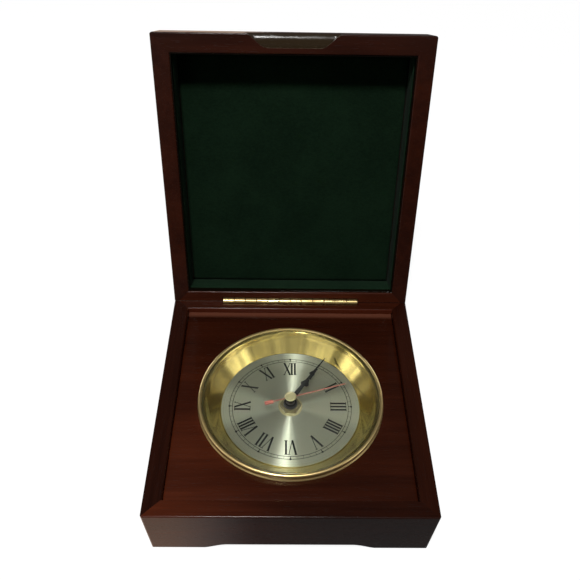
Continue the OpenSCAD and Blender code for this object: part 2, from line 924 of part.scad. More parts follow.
arbor_d0 = case_t - pivot_depth + end_play;
arbor_d1 = case_h - case_t + pivot_depth - end_play;
rotor_turn = mesh_turn(0, rotor_dir, inter_teeth, rotor_pinion);
inter_turn = mesh_turn(0, inter_dir, seconds_teeth, inter_pinion);
third_turn = mesh_turn(0, third_dir, seconds_pinion, third_teeth);
centre_turn = mesh_turn(0, third_dir + 180, third_pinion, centre_teeth);
minute_turn = mesh_turn(0, motion_dir, cannon_teeth, minute_teeth);
hour_turn = mesh_turn(0, motion_dir + 180, minute_pinion, hour_teeth);
set_turn = mesh_turn(minute_turn, set_dir, minute_teeth, set_teeth);

// The rotor: a magnet and its pinion on the thinnest arbor
module rotor() {
    color(steel)
        on(rotor_at) {
            arbor(arbor_d0, arbor_d1, arbor_r);
            layer(inter_level - pinion_over / 2, wheel_t + pinion_over)
                toothed(rotor_pinion, m_rotor, wheel_t + pinion_over, rotor_turn);
            layer(magnet_level, magnet_t)
                cylinder(h = magnet_t, r = magnet_r);
        }
}

module intermediate_wheel() {
    color(wheel_white)
        on(inter_at) {
            arbor(arbor_d0, arbor_d1, arbor_r);
            layer(inter_level, wheel_t)
                toothed(inter_teeth, m_rotor, wheel_t);
            layer(seconds_level - pinion_over, inter_level - seconds_level + pinion_over)
                toothed(inter_pinion, m_inter, inter_level - seconds_level + pinion_over, inter_turn);
        }
}

// The fourth wheel turns once a minute and carries the second hand on its spindle
module seconds_wheel() {
    color(wheel_white) {
        at_clock()
            at_level(arbor_d1)
                cylinder(h = arbor_d1 - case_top + spindle_top, r = spindle_r);
        layer(seconds_level, wheel_t)
            toothed(seconds_teeth, m_inter, wheel_t);
        layer(third_level - pinion_over, seconds_level - third_level + pinion_over)
            toothed(seconds_pinion, m_third, seconds_level - third_level + pinion_over);
    }
}

module third_wheel() {
    color(wheel_white)
        on(third_at) {
            arbor(arbor_d0, arbor_d1, arbor_r);
            layer(third_level, wheel_t)
                toothed(third_teeth, m_third, wheel_t, third_turn);
            layer(centre_level - pinion_over, third_level - centre_level + pinion_over)
                toothed(third_pinion, m_centre, third_level - centre_level + pinion_over);
        }
}

// The centre wheel turns once an hour and drives the minute arbor by friction alone
module centre_wheel() {
    color(wheel_white)
        layer(centre_level, wheel_t)
            difference() {
                toothed(centre_teeth, m_centre, wheel_t, centre_turn);
                translate([0, 0, -over])
                    cylinder(h = wheel_t + 2 * over, r = minute_tube_r + run_gap);
            }
}

// The minute arbor: the cannon pinion, the tube that carries the minute hand, and the collar that
// keeps the centre wheel on it
module minute_arbor() {
    foot = centre_level + wheel_t + end_play + collar_t;
    color(brass)
        difference() {
            union() {
                at_clock()
                    at_level(foot)
                        cylinder(h = foot - case_top + minute_tube_top, r = minute_tube_r);
                layer(foot - collar_t, collar_t)
                    cylinder(h = collar_t, r = collar_r);
                layer(motion_level - end_play, wheel_t + pinion_over)
                    toothed(cannon_teeth, m_cannon, wheel_t + pinion_over);
            }
            at_clock()
                at_level(foot + over)
                    cylinder(h = foot - case_top + minute_tube_top + 2 * over, r = spindle_r + run_gap);
        }
}

module minute_wheel() {
    color(wheel_white)
        on(motion_at) {
            arbor(arbor_d0, motion_level + wheel_t + pinion_over, arbor_r);
            layer(motion_level, wheel_t)
                toothed(minute_teeth, m_cannon, wheel_t, minute_turn);
            layer(hour_level - end_play, motion_level - hour_level + end_play)
                toothed(minute_pinion, m_hour, motion_level - hour_level + end_play);
        }
}

module hour_wheel() {
    color(wheel_white)
        difference() {
            union() {
                layer(hour_level, wheel_t)
                    toothed(hour_teeth, m_hour, wheel_t, hour_turn);
                at_clock()
                    at_level(hour_level + wheel_t)
                        cylinder(h = hour_level + wheel_t - case_top + hour_pipe_top, r = hour_pipe_r);
            }
            at_clock()
                at_level(hour_level + wheel_t + over)
                    cylinder(h = case_h, r = minute_tube_r + run_gap);
        }
}

module set_knob() {
    color(case_black)
        on(set_at) {
            arbor(motion_level - end_play, case_h + knob_gap, shaft_r);
            layer(motion_level - end_play, wheel_t + pinion_over)
                toothed(set_teeth, m_cannon, wheel_t + pinion_over, set_turn);
            layer(case_h + knob_gap, knob_h)
                toothed(knurl_teeth, 2 * knob_r / (knurl_teeth + 2 * tip_height_share), knob_h);
        }
}

// The ring of side walls between two depths of the case
module case_walls(d0, d1) {
    at_level(d1)
        linear_extrude(d1 - d0)
            difference() {
                soft_outline(case_w, case_w, case_r);
                soft_outline(case_w - 2 * case_t, case_w - 2 * case_t, case_r - case_t / 2);
            }
}

// Blind holes for the thin arbors, cut from a depth upwards
module pivots(depth, places) {
    for (place = places)
        on(place)
            at_level(depth)
                cylinder(h = pivot_depth, r = arbor_r + run_gap);
}

// The front shell: the dial side, the threaded bush and the wall of the battery bay
module case_front() {
    bay_w = case_w - 2 * case_t;
    color(case_black)
        at_clock()
            difference() {
                union() {
                    at_level(case_t)
                        linear_extrude(case_t)
                            soft_outline(case_w, case_w, case_r);
                    case_walls(0, case_split);
                    at_level(case_h - case_t)
                        translate([-bay_w / 2, bay_wall_y, 0])
                            cube([bay_w, bay_wall_t, case_h - 2 * case_t + pivot_depth]);
                    at_level(case_t)
                        cylinder(h = case_t - case_top + bush_top, r = bush_r);
                }
                at_level(case_t + over)
                    cylinder(h = case_t - case_top + bush_top + 2 * over, r = hour_pipe_r + run_gap);
                pivots(case_t, [third_at, inter_at, rotor_at, motion_at]);
            }
}

// The back shell: posts for the works, the hole for the setting shaft and the battery's window
module case_back() {
    window_w = case_w - 2 * case_t - 2 * contact_t;
    window_d = bay_wall_y + case_w / 2 - case_t - bay_gap;
    post_d = case_h - case_t;
    color(case_black)
        at_clock()
            difference() {
                union() {
                    at_level(case_h)
                        linear_extrude(case_t)
                            soft_outline(case_w, case_w, case_r);
                    case_walls(case_split, case_h);
                    for (x = [-limb_x, limb_x])
                        on([x, (stator_y0 + stator_y1) / 2])
                            at_level(post_d)
                                cylinder(h = post_d - stator_level - stator_t, r = post_r);
                    for (y = [-board_pcb_l / 3, board_pcb_l / 3])
                        on([board_pcb_x, y])
                            at_level(post_d)
                                cylinder(h = post_d - board_pcb_level - board_pcb_t, r = post_r);
                    at_level(post_d)
                        tube(post_d - inter_level - wheel_t - soft_gap, post_r, spindle_r + run_gap);
                }
                on(set_at)
                    at_level(case_h + over)
                        cylinder(h = case_t + 2 * over, r = shaft_r + run_gap);
                at_level(case_h + over)
                    translate([-window_w / 2, bay_wall_y - bay_gap - window_d, 0])
                        cube([window_w, window_d, case_t + 2 * over]);
                pivots(case_h - case_t + pivot_depth, [third_at, inter_at, rotor_at]);
                at_level(arbor_d1 + end_play)
                    cylinder(h = pivot_depth + over, r = spindle_r + run_gap);
            }
}

// A dry cell that lies along X, with its nub to the right
module battery() {
    color("dimgray")
        at_clock()
            at_level(cell_depth)
                translate([cell_x, cell_y, 0])
                    rotate([0, 90, 0])
                        rotate_extrude() {
                            intersection() {
                                soft_outline(2 * cell_r, cell_l, cell_end_r);
                                translate([0, -cell_l / 2])
                                    square([cell_r, cell_l]);
                            }
                            square([cell_nub_r, cell_l / 2 + cell_nub_l]);
                        }
}

// A flat contact at the nub, and a bowed leaf that presses on the can's other end
module battery_contacts() {
    wall_x = case_w / 2 - case_t;
    bow = spring_l - kerf_gap;
    color(steel)
        at_clock()
            at_level(cell_depth) {
                translate([wall_x - contact_t / 2, cell_y, 0])
                    cube([contact_t, contact_w, contact_w], center = true);
                translate([-wall_x, cell_y, 0])
                    rotate([90, 0, 0])
                        linear_extrude(contact_w, center = true)
                            polygon([[0, -contact_w / 2], [bow, 0], [0, contact_w / 2],
                                [0, contact_w / 2 - 2 * contact_t], [bow - contact_t, 0],
                                [0, 2 * contact_t - contact_w / 2]]);
            }
}

module coil() {
    slot_w = core_w + 2 * coil_gap;
    slot_h = stator_t + 2 * coil_gap;
    color("chocolate")
        at_clock()
            at_level(stator_level + stator_t / 2)
                translate([0, core_y, 0])
                    difference() {
                        union() {
                            rotate([0, 90, 0])
                                cylinder(h = coil_l, r = coil_r, center = true);
                            for (x = [-1, 1])
                                translate([x * (coil_l - coil_flange_t) / 2, 0, 0])
                                    rotate([0, 90, 0])
                                        cylinder(h = coil_flange_t, r = coil_flange_r, center = true);
                        }
                        cube([coil_l + 2 * over, slot_w, slot_h], center = true);
                    }
}

// The laminated plate round the rotor, its two limbs, and the core that runs through the coil
module stator() {
    color(steel)
        layer(stator_level, stator_t)
            linear_extrude(stator_t)
                difference() {
                    union() {
                        translate([-limb_x - limb_w / 2, stator_y0])
                            square([2 * limb_x + limb_w, stator_y1 - stator_y0]);
                        for (x = [-limb_x, limb_x])
                            translate([x - limb_w / 2, stator_y0])
                                square([limb_w, core_y + core_w / 2 - stator_y0]);
                        translate([-limb_x, core_y - core_w / 2])
                            square([2 * limb_x, core_w]);
                    }
                    translate(rotor_at)
                        circle(magnet_r + stator_gap);
                }
}

module circuit_board() {
    color("darkgreen")
        layer(board_pcb_level, board_pcb_t)
            translate([board_pcb_x, 0, board_pcb_t / 2])
                cube([board_pcb_w, board_pcb_l, board_pcb_t], center = true);
}

// The crystal's can lies on the circuit board
module quartz_crystal() {
    color(steel)
        at_clock()
            at_level(board_pcb_level - crystal_r)
                translate([board_pcb_x, 0, 0])
                    rotate([90, 0, 0])
                        cylinder(h = crystal_l, r = crystal_r, center = true);
}

base_rail_front();
base_rail_right();
base_rail_back();
base_rail_left();
dial_panel();
panel_cleats();
corner_blocks();
base_board();
board_screws();
base_felt();
lid_rail_front();
lid_rail_right();
lid_rail_back();
lid_rail_left();
lid_top_board();
lid_floor_felt();
lid_wall_felt();
hinge_leaf_base();
hinge_leaf_lid();
hinge_pin();
bezel_ring();
retaining_ring();
dial_pan();
dial_plate();
dial_washer();
mounting_nut();
rubber_washer();
hour_hand();
minute_hand();
second_hand();
second_pipe();
hand_cap();
case_front();
case_back();
battery();
battery_contacts();
coil();
stator();
circuit_board();
quartz_crystal();
rotor();
intermediate_wheel();
seconds_wheel();
third_wheel();
centre_wheel();
minute_arbor();
minute_wheel();
hour_wheel();
set_knob();
glass();
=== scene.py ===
# %% [markdown]
# # A hinged mahogany box clock
#
# The clock stands open. Its base and its lid are mitred mahogany frames, the lid is lined with dark
# green felt, and a spun brass pan with a silvered dial and a glass dome is let into a recessed panel.
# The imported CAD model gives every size, place and joint. This lesson dresses it: the soft felt, the
# dial's printing, the turned brass and the glass are modelled here, and the rest of the wood and the
# works keep their CAD solids and get their finishes.

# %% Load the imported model
import math
import bpy
from mathutils import Matrix, Vector


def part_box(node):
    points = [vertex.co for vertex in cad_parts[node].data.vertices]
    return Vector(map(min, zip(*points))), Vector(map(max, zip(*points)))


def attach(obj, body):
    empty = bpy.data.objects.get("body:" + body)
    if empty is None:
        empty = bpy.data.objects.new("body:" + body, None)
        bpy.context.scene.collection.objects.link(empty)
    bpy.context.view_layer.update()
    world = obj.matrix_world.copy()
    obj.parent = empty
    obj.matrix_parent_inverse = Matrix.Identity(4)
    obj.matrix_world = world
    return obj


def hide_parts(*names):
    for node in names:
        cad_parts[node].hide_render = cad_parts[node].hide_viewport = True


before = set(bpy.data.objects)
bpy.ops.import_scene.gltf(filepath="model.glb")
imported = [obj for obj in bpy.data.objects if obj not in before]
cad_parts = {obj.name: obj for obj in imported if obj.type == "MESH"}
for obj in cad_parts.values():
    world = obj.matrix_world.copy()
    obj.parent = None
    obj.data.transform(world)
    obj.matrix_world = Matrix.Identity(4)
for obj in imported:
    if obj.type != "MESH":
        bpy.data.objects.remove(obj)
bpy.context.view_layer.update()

# %% [markdown]
# ## Places
#
# All lengths are in metres. Two places matter for what follows: the middle of the dial's face, and
# the hinge pin. The lid's pieces could be modelled where they stand, but they lean, so it is easier
# to model them shut, with the pin at the origin. One matrix then opens them to where they stand.

# %% The dial's place and the lid's place
MM = 0.001
low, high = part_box("dial_plate")
dial_at = Vector(((low[0] + high[0]) / 2, (low[1] + high[1]) / 2, high[2]))
DIAL_R = (high[0] - low[0]) / 2

pin_low, pin_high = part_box("hinge_pin")
pin_at = Vector((0, (pin_low[1] + pin_high[1]) / 2, (pin_low[2] + pin_high[2]) / 2))
LID_OPEN = math.radians(110)
lid_place = Matrix.Translation(pin_at) @ Matrix.Rotation(-LID_OPEN, 4, "X")
print("dial at", [round(v, 5) for v in dial_at], "pin at", [round(v, 5) for v in pin_at])

# %% [markdown]
# ## The camera
#
# The photograph was taken from close above, looking down by about 52 degrees. Its place and turn were
# fitted to the box's corners. The box sits low in the picture because the picture was cropped, so
# the lens is shifted upwards and not tilted: a tilt would change how the sides converge.

# %% The photograph's camera
camera_data = bpy.data.cameras.new("photo_camera")
camera_data.sensor_fit = "HORIZONTAL"
camera_data.sensor_width = 36
camera_data.lens = 37.27
camera_data.shift_y = 0.154
camera_data.clip_start = 0.01
photo_camera = bpy.data.objects.new("photo_camera", camera_data)
photo_camera.location = (-0.0048, -0.24199, 0.3142)
photo_camera.rotation_euler = [math.radians(a) for a in (38.041, -0.844, -0.101)]
bpy.context.scene.collection.objects.link(photo_camera)
bpy.context.scene.camera = photo_camera
bpy.context.scene.view_settings.view_transform = "Standard"
print("camera at", [round(v, 4) for v in photo_camera.location])

# %% [markdown]
# ## Working by operators
#
# The pieces are modelled with the same operators as by hand. An operator acts on whatever is
# selected, so each piece starts from an empty selection. A finished piece keeps its place in its
# mesh, with its object at the origin: that is how the CAD nodes are kept, and patterns that read
# Object coordinates then stay put.

# %% Helpers for modelling
def leave_edit():
    bpy.ops.object.mode_set(mode="OBJECT")


def pick(*pieces):
    """Selects these pieces alone, or nothing. The first one becomes active."""
    if bpy.context.object and bpy.context.object.mode != "OBJECT":
        leave_edit()
    bpy.ops.object.select_all(action="DESELECT")
    for piece in pieces:
        piece.select_set(True)
    if pieces:
        bpy.context.view_layer.objects.active = pieces[0]


def edit(piece):
    """Opens a piece in edit mode with all of it selected."""
    pick(piece)
    bpy.ops.object.mode_set(mode="EDIT")
    bpy.ops.mesh.select_all(action="SELECT")


def extrude(z):
    """Extrudes what is selected, by a height."""
    bpy.ops.mesh.extrude_region_move(TRANSFORM_OT_translate={"value": (0, 0, z)})


def outward(piece, merge=1e-6):
    """Merges points closer than a distance, if one is given, and turns all faces outwards."""
    edit(piece)
    if merge:
        bpy.ops.mesh.remove_doubles(threshold=merge)
    bpy.ops.mesh.normals_make_consistent(inside=False)
    leave_edit()


def write_place():
    """Writes the place, turn and scale of what is selected into its mesh."""
    bpy.ops.object.transform_apply(location=True, rotation=True, scale=True)


def scaled(size):
    """Gives the new primitive a size."""
    piece = bpy.context.object
    piece.scale = size
    write_place()
    return piece


def settle(piece, name, place=None):
    """Names a piece, moves it into its place and writes that place into its mesh."""
    piece.name = name
    piece.data.name = name
    if place is not None:
        piece.matrix_world = place @ piece.matrix_world
    pick(piece)
    write_place()
    print(name, "faces:", len(piece.data.polygons))
    return piece


# %% [markdown]
# ## Shader groups
#
# A finish is more than a colour. Grain, nap, brushing and small marks could be wired anew in each
# material, but they are built once here as node groups and used by several materials with their own
# values. A group puts out only what changes over the surface. What is the same all over, such as
# the metal's sheen, is set on the shader.

# %% Helpers for shader groups
class Wiring:
    """Adds nodes to a tree and joins their sockets in one call each."""

    def __init__(self, tree):
        self.tree = tree

    def add(self, kind, settings=None, **inputs):
        node = self.tree.nodes.new("ShaderNode" + kind)
        for key, value in (settings or {}).items():
            setattr(node, key, value)
        self.fill(node, **inputs)
        return node

    def fill(self, node, **inputs):
        for key, value in inputs.items():
            self.put(node, key.replace("_", " "), value)

    def put(self, node, key, value):
        """Links or sets an input, which is given by its name, or by n and its number."""
        self.join(node.inputs[int(key[1:])] if key in ("n0", "n1", "n2") else node.inputs[key], value)

    def join(self, socket, value):
        if isinstance(value, bpy.types.NodeSocket):
            self.tree.links.new(value, socket)
        else:
            socket.default_value = value

    def math(self, operation, a, b=0.0, clamp=False):
        return self.add("Math", {"operation": operation, "use_clamp": clamp}, n0=a, n1=b).outputs[0]

    def product(self, first, *others):
        for other in others:
            first = self.math("MULTIPLY", first, other)
        return first

    def weigh(self, *pairs):
        """Adds up values that each have a weight."""
        total = self.math("MULTIPLY", *pairs[0])
        for pair in pairs[1:]:
            total = self.math("ADD", total, self.math("MULTIPLY", *pair))
        return total

    def between(self, value, low, high, out_low=0.0, out_high=1.0):
        """Maps a value softly from one span to another, held at its ends."""
        node = self.add("MapRange", {"interpolation_type": "SMOOTHSTEP"}, Value=value, From_Min=low,
                        From_Max=high, To_Min=out_low, To_Max=out_high)
        return node.outputs[0]

    def blend(self, factor, a, b):
        """Mixes two colours."""
        node = self.add("Mix", {"data_type": "RGBA"}, Factor=factor)
        for socket, value in ((node.inputs[6], a), (node.inputs[7], b)):
            self.join(socket, (*value, 1) if isinstance(value, tuple) else value)
        return node.outputs[2]

    def noise(self, vector, scale, detail=3.0, rough=0.5):
        """Noise at one scale, or stretched by a scale for each axis."""
        if isinstance(scale, tuple):
            vector, scale = self.vector("MULTIPLY", vector, scale), 1.0
        return self.add("TexNoise", Vector=vector, Scale=scale, Detail=detail,
                        Roughness=rough).outputs["Fac"]

    def vector(self, operation, a, b=(0, 0, 0), result="Vector"):
        return self.add("VectorMath", {"operation": operation}, n0=a, n1=b).outputs[result]

    def even(self, value):
        """A vector or colour with the same value three times."""
        return self.add("CombineXYZ", X=value, Y=value, Z=value).outputs[0]

    def line(self, value):
        """A vector that runs along X only, for patterns in one direction."""
        return self.add("CombineXYZ", X=value).outputs[0]

    def split(self, vector):
        return self.add("SeparateXYZ", Vector=vector).outputs

    def here(self):
        return self.add("TexCoord").outputs["Object"]


def new_group(name, with_roughness=True, **inputs):
    """A group, its wiring, its vector, its inputs and its end. Inputs without a value are colours."""
    group = bpy.data.node_groups.new(name, "ShaderNodeTree")
    sockets = [("Vector", "INPUT", "Vector", None)]
    sockets += [(label, "INPUT", "Color" if value is None else "Float", value)
                for label, value in inputs.items()]
    sockets += [("Color", "OUTPUT", "Color", None), ("Height", "OUTPUT", "Float", None)]
    if with_roughness:
        sockets.append(("Roughness", "OUTPUT", "Float", None))
    for label, way, kind, value in sockets:
        socket = group.interface.new_socket(label, in_out=way, socket_type="NodeSocket" + kind)
        if value is not None:
            socket.default_value = value
    start, end = group.nodes.new("NodeGroupInput"), group.nodes.new("NodeGroupOutput")
    print("shader group:", name)
    return group, Wiring(group), start.outputs["Vector"], start.outputs, end


# %% [markdown]
# ### Mahogany grain
#
# Mahogany is straight-grained: broad soft bands of light and dark run along the board, and short
# fine pores lie in them like dashes. A Wave texture would draw rings that mahogany lacks, so noise
# that is stretched along the grain gives both. The dark stain on this box hides most of the bands,
# so their contrast is low.

# %% Group: wood grain
grain_group, w, at, given, sink = new_group("wood_grain", Dark=None, Light=None, Pores=0.5)
bands = w.noise(at, (7, 60, 60), 4.0, 0.55)
streaks = w.noise(at, (22, 420, 420), 3.0, 0.6)
cloud = w.noise(at, 16.0, 2.0, 0.5)
dashes = w.noise(at, (190, 2600, 2600), 1.0, 0.5)
pores = w.product(w.between(dashes, 0.62, 0.74), given["Pores"])
figure = w.weigh((bands, 0.5), (streaks, 0.28), (cloud, 0.22))
board = w.blend(w.between(figure, 0.34, 0.68), given["Dark"], given["Light"])
w.fill(sink, Color=w.blend(w.product(pores, 0.7), board, (0.004, 0.0012, 0.0006)),
       Roughness=w.weigh((streaks, 0.10), (pores, 0.25)),
       Height=w.math("SUBTRACT", w.product(streaks, 0.35), pores))

# %% [markdown]
# ### Felt nap
#
# Felt is a mat of short fibres with no weave, so a weave pattern would be wrong. Close to, it has a
# fine fuzz and soft darker and lighter clouds where the nap was brushed one way or the other. Three
# sizes of noise give these.

# %% Group: felt nap
felt_group, w, at, given, sink = new_group("felt_nap", with_roughness=False, Shade=None, Lit=None)
fuzz = w.noise(at, 2400.0, 2.0, 0.7)
fibre = w.noise(at, (500, 1500, 900), 3.0, 0.7)
clouds = w.noise(at, 38.0, 3.0, 0.6)
mixed = w.weigh((fuzz, 0.35), (fibre, 0.35), (clouds, 0.30))
w.fill(sink, Color=w.blend(w.between(mixed, 0.36, 0.64), given["Shade"], given["Lit"]),
       Height=w.weigh((fuzz, 0.5), (fibre, 0.5)))

# %% [markdown]
# ### Metal with age
#
# Polished brass that has been handled is never even. It has cloudy tarnish, fine cleaning marks in
# all directions and a few darker specks. The group mixes a bright and a tarnished colour and gives a
# roughness that follows the same clouds, because tarnish is dull as well as dark.

# %% Group: aged metal
age_group, w, at, given, sink = new_group("aged_metal", Bright=None, Tarnish=None, Age=0.5, Smooth=0.12)
clouds = w.noise(at, 55.0, 4.0, 0.6)
marks = w.noise(at, (900, 5200, 2400), 2.0, 0.6)
specks = w.between(w.noise(at, 420.0, 1.0, 0.5), 0.72, 0.78)
dull = w.product(w.between(clouds, 0.38, 0.66), given["Age"])
dull = w.math("ADD", dull, w.product(specks, given["Age"]), clamp=True)
w.fill(sink, Color=w.blend(dull, given["Bright"], given["Tarnish"]),
       Roughness=w.math("ADD", given["Smooth"], w.weigh((dull, 0.16), (marks, 0.06))),
       Height=w.weigh((marks, 0.5), (specks, -0.5)))

# %% [markdown]
# ### Circular brushing
#
# The dial was brushed on a turntable: thousands of fine rings round its centre. They spread a
# highlight across the rings, which draws the bright bow tie through the middle. The group makes the
# rings from the distance to the middle, so they need no picture. It also multiplies the colour by
# the direction from the middle: lighter at the sides, darker above and below except in a narrow band
# through the middle, and lighter towards the lower right. That is a painted highlight and a painted
# reflection.

# %% Group: circular brushing and painted sheen
brush_and_sheen_group, w, at, given, sink = new_group("ring_brushing_and_sheen", Shade=None, Lit=None)
FINE_RINGS, BROAD_RINGS = 9000.0, 1500.0
flat = w.vector("MULTIPLY", at, (1, 1, 0))
radius = w.vector("LENGTH", flat, result="Value")
fine_rings = w.noise(w.line(w.product(radius, FINE_RINGS)), 1.0, 2.0, 0.7)
broad_rings = w.noise(w.line(w.product(radius, BROAD_RINGS)), 1.0, 2.0, 0.6)
rings = w.weigh((fine_rings, 0.75), (broad_rings, 0.25))

# Painted highlight and painted reflection: a factor on the colour that follows the direction from the
# middle.
way = w.split(w.vector("NORMALIZE", flat))
across, upright = (w.math("ABSOLUTE", way[axis]) for axis in "XY")
painted_sheen = w.between(upright, 0.50, 0.20, 0.76, 1.26)
painted_sheen = w.math("ADD", painted_sheen, w.between(across, 0.16, 0.05, 0.0, 0.36))
lower_right_sheen = w.between(w.math("SUBTRACT", way["X"], way["Y"]), 0.9, 1.4, 0.0, 0.22)
painted_sheen = w.math("ADD", painted_sheen, lower_right_sheen)

brushed = w.blend(w.between(rings, 0.3, 0.7), given["Shade"], given["Lit"])
w.fill(sink, Color=w.vector("MULTIPLY", brushed, w.even(painted_sheen)),
       Roughness=w.between(rings, 0.3, 0.7, 0.27, 0.30),
       Height=rings)

# %% [markdown]
# ### Moulded surface
#
# Moulded plastic, rubber and paint have a fine even texture and slight clouds. One group serves all
# of them with different colours and scales, since they differ in nothing else.

# %% Group: moulded surface
mould_group, w, at, given, sink = new_group("moulded_surface", Colour=None, Rubbed=None,
                                            Grain=900.0, Gloss=0.4)
clouds = w.noise(at, 70.0, 3.0, 0.6)
w.fill(sink, Color=w.blend(w.between(clouds, 0.45, 0.75), given["Colour"], given["Rubbed"]),
       Roughness=w.math("ADD", given["Gloss"], w.product(clouds, 0.12)),
       Height=w.noise(at, given["Grain"], 2.0, 0.6))

# %% [markdown]
# ## Materials
#
# Each material places a group, gives it its own values and feeds it to a Principled shader. The
# pattern reads Object coordinates, in metres, so it has the same scale on every piece. A Mapping
# node turns it.

# %% Helpers for materials
def blank(block):
    """Empties a new material or world, and gives its wiring."""
    block.use_nodes = True
    block.node_tree.nodes.clear()
    print("nodes for", block.name)
    return Wiring(block.node_tree)


def finish(name, group, values, bump=0.2, depth=0.03 * MM, turn=(0, 0, 0), centre=None, **shader):
    """A material from one shader group. Further keywords are the shader's own constant values."""
    material = bpy.data.materials.new(name)
    w = blank(material)
    principled = w.add("BsdfPrincipled")
    w.add("OutputMaterial", Surface=principled.outputs[0])
    place = w.vector("SUBTRACT", w.here(), centre) if centre else w.here()
    node = w.add("Group", {"node_tree": group},
                 Vector=w.add("Mapping", Vector=place, Rotation=turn).outputs[0])
    for key, value in values.items():
        node.inputs[key].default_value = (*value, 1) if isinstance(value, tuple) else value
    relief = w.add("Bump", Strength=bump, Distance=depth, Height=node.outputs["Height"])
    w.fill(principled, Base_Color=node.outputs["Color"], Normal=relief.outputs[0], **shader)
    if "Roughness" in node.outputs:
        w.put(principled, "Roughness", node.outputs["Roughness"])
    return material


def opened(material, key="Base Color"):
    """A material's wiring, its shader and what feeds one of the shader's inputs."""
    shader = next(node for node in material.node_tree.nodes if node.type == "BSDF_PRINCIPLED")
    links = shader.inputs[key].links
    return Wiring(material.node_tree), shader, links[0].from_socket if links else None


def wear(piece_or_node, material):
    """Gives a piece or a CAD node one material."""
    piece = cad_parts[piece_or_node] if isinstance(piece_or_node, str) else piece_or_node
    if piece.material_slots:
        for slot in piece.material_slots:
            slot.material = material
    else:
        piece.data.materials.append(material)


# %% [markdown]
# ### Mahogany
#
# The grain of each rail runs along the rail, as it does in any mitred frame. The lid's side rails
# lean back with the lid, so their grain is turned by the same angle. Under the dark stain the light
# bands are a deep red-brown. Each board's stain is multiplied by its own tone, and the photograph
# shows which are darker. The lid's back rail, beside the hinge, is made much lighter: a painted
# reflection of the brass.

# %% Mahogany for the rails and the lid's board
STAIN_DARK = (0.0230, 0.0044, 0.0015)
STAIN_LIGHT = (0.0470, 0.0092, 0.0030)
VARNISH_ROUGH = 0.17
LEAN = LID_OPEN - math.pi / 2


def mahogany(name, tone=1.0, turn=(0, 0, 0)):
    """Stained wood whose grain is turned along its board. The tone makes the stain darker or lighter."""
    dark, light = (tuple(tone * v for v in colour) for colour in (STAIN_DARK, STAIN_LIGHT))
    material = finish(name, grain_group, {"Dark": dark, "Light": light, "Pores": 0.5},
                      bump=0.25, depth=0.04 * MM, turn=turn, IOR=1.5, Specular_IOR_Level=0.22)
    w, shader, rough = opened(material, "Roughness")
    w.put(shader, "Roughness", w.math("ADD", rough, VARNISH_ROUGH))
    return material


ALONG_Y, ALONG_LID = (0, 0, math.radians(90)), (0, math.radians(90), math.radians(90) - LEAN)
# One tone for each board. The lid's back rail has the highest: painted reflection of the hinge.
for name, tone, turn in (("base_rail_left", 0.52, ALONG_Y), ("base_rail_right", 0.55, ALONG_Y),
                         ("lid_rail_left", 0.78, ALONG_LID), ("lid_rail_right", 0.74, ALONG_LID),
                         ("lid_rail_back", 1.35, (0, 0, 0)), ("lid_top_board", 0.8, (0, 0, 0))):
    wear(name, mahogany("mahogany_" + name, tone, turn))

plain_wood = finish("plain_wood", grain_group,
                    {"Dark": (0.10, 0.050, 0.022), "Light": (0.24, 0.14, 0.070), "Pores": 0.6},
                    bump=0.4, depth=0.08 * MM, Specular_IOR_Level=0.25)
for name in ("base_board", "panel_cleats", "corner_blocks"):
    wear(name, plain_wood)

# %% [markdown]
# ### Brass, steel and copper
#
# The pan is polished and a little tarnished, and the bezel and the cap have gone satin. The nut lies
# in their shade, and its brass is made dark: painted shade. The hinge is dull, the works are of
# nickelled steel, and the coil is of copper. All these are one group with other values, so a table
# says what each metal is and which nodes wear it.

# %% Metals
METALS = {  # name: bright colour, tarnished colour, age, smooth, bump, depth in mm, metallic, nodes
    "brass_polished": ((0.74, 0.59, 0.20), (0.50, 0.38, 0.12), 0.35, 0.07, 0.02, 0.01, 1.0,
                       ("minute_arbor", "second_pipe")),
    "brass_rim": ((0.80, 0.61, 0.27), (0.56, 0.40, 0.16), 0.6, 0.29, 0.05, 0.01, 0.95, ()),
    "brass_satin": ((0.38, 0.35, 0.19), (0.26, 0.23, 0.12), 0.5, 0.28, 0.05, 0.01, 0.55,
                    ("dial_washer",)),
    "brass_painted_shade": ((0.20, 0.18, 0.10), (0.10, 0.085, 0.045), 0.8, 0.3, 0.2, 0.02, 0.7,
                     ("mounting_nut",)),
    "brass_hinge": ((0.70, 0.54, 0.24), (0.30, 0.20, 0.07), 0.8, 0.20, 0.3, 0.03, 1.0,
                    ("hinge_pin",)),
    "nickel": ((0.62, 0.61, 0.58), (0.36, 0.35, 0.33), 0.5, 0.22, 0.1, 0.02, 1.0,
               ("board_screws", "retaining_ring", "battery_contacts", "stator", "quartz_crystal",
                "rotor")),
    "copper_wire": ((0.55, 0.20, 0.07), (0.28, 0.09, 0.03), 0.6, 0.25, 0.4, 0.06, 1.0, ("coil",)),
}
metals = {}
for name, (bright, tarnish, age, even, bump, depth, metallic, nodes) in METALS.items():
    values = {"Bright": bright, "Tarnish": tarnish, "Age": age, "Smooth": even}
    metals[name] = finish(name, age_group, values, bump=bump, depth=depth * MM, Metallic=metallic)
    for node in nodes:
        wear(node, metals[name])

# %% [markdown]
# ### Plastic, rubber, paint and ink
#
# The movement's case is black plastic, its wheels are nylon, and the cell has a plain wrap. The
# hands are painted and the numerals are printed. A second table lists them all.

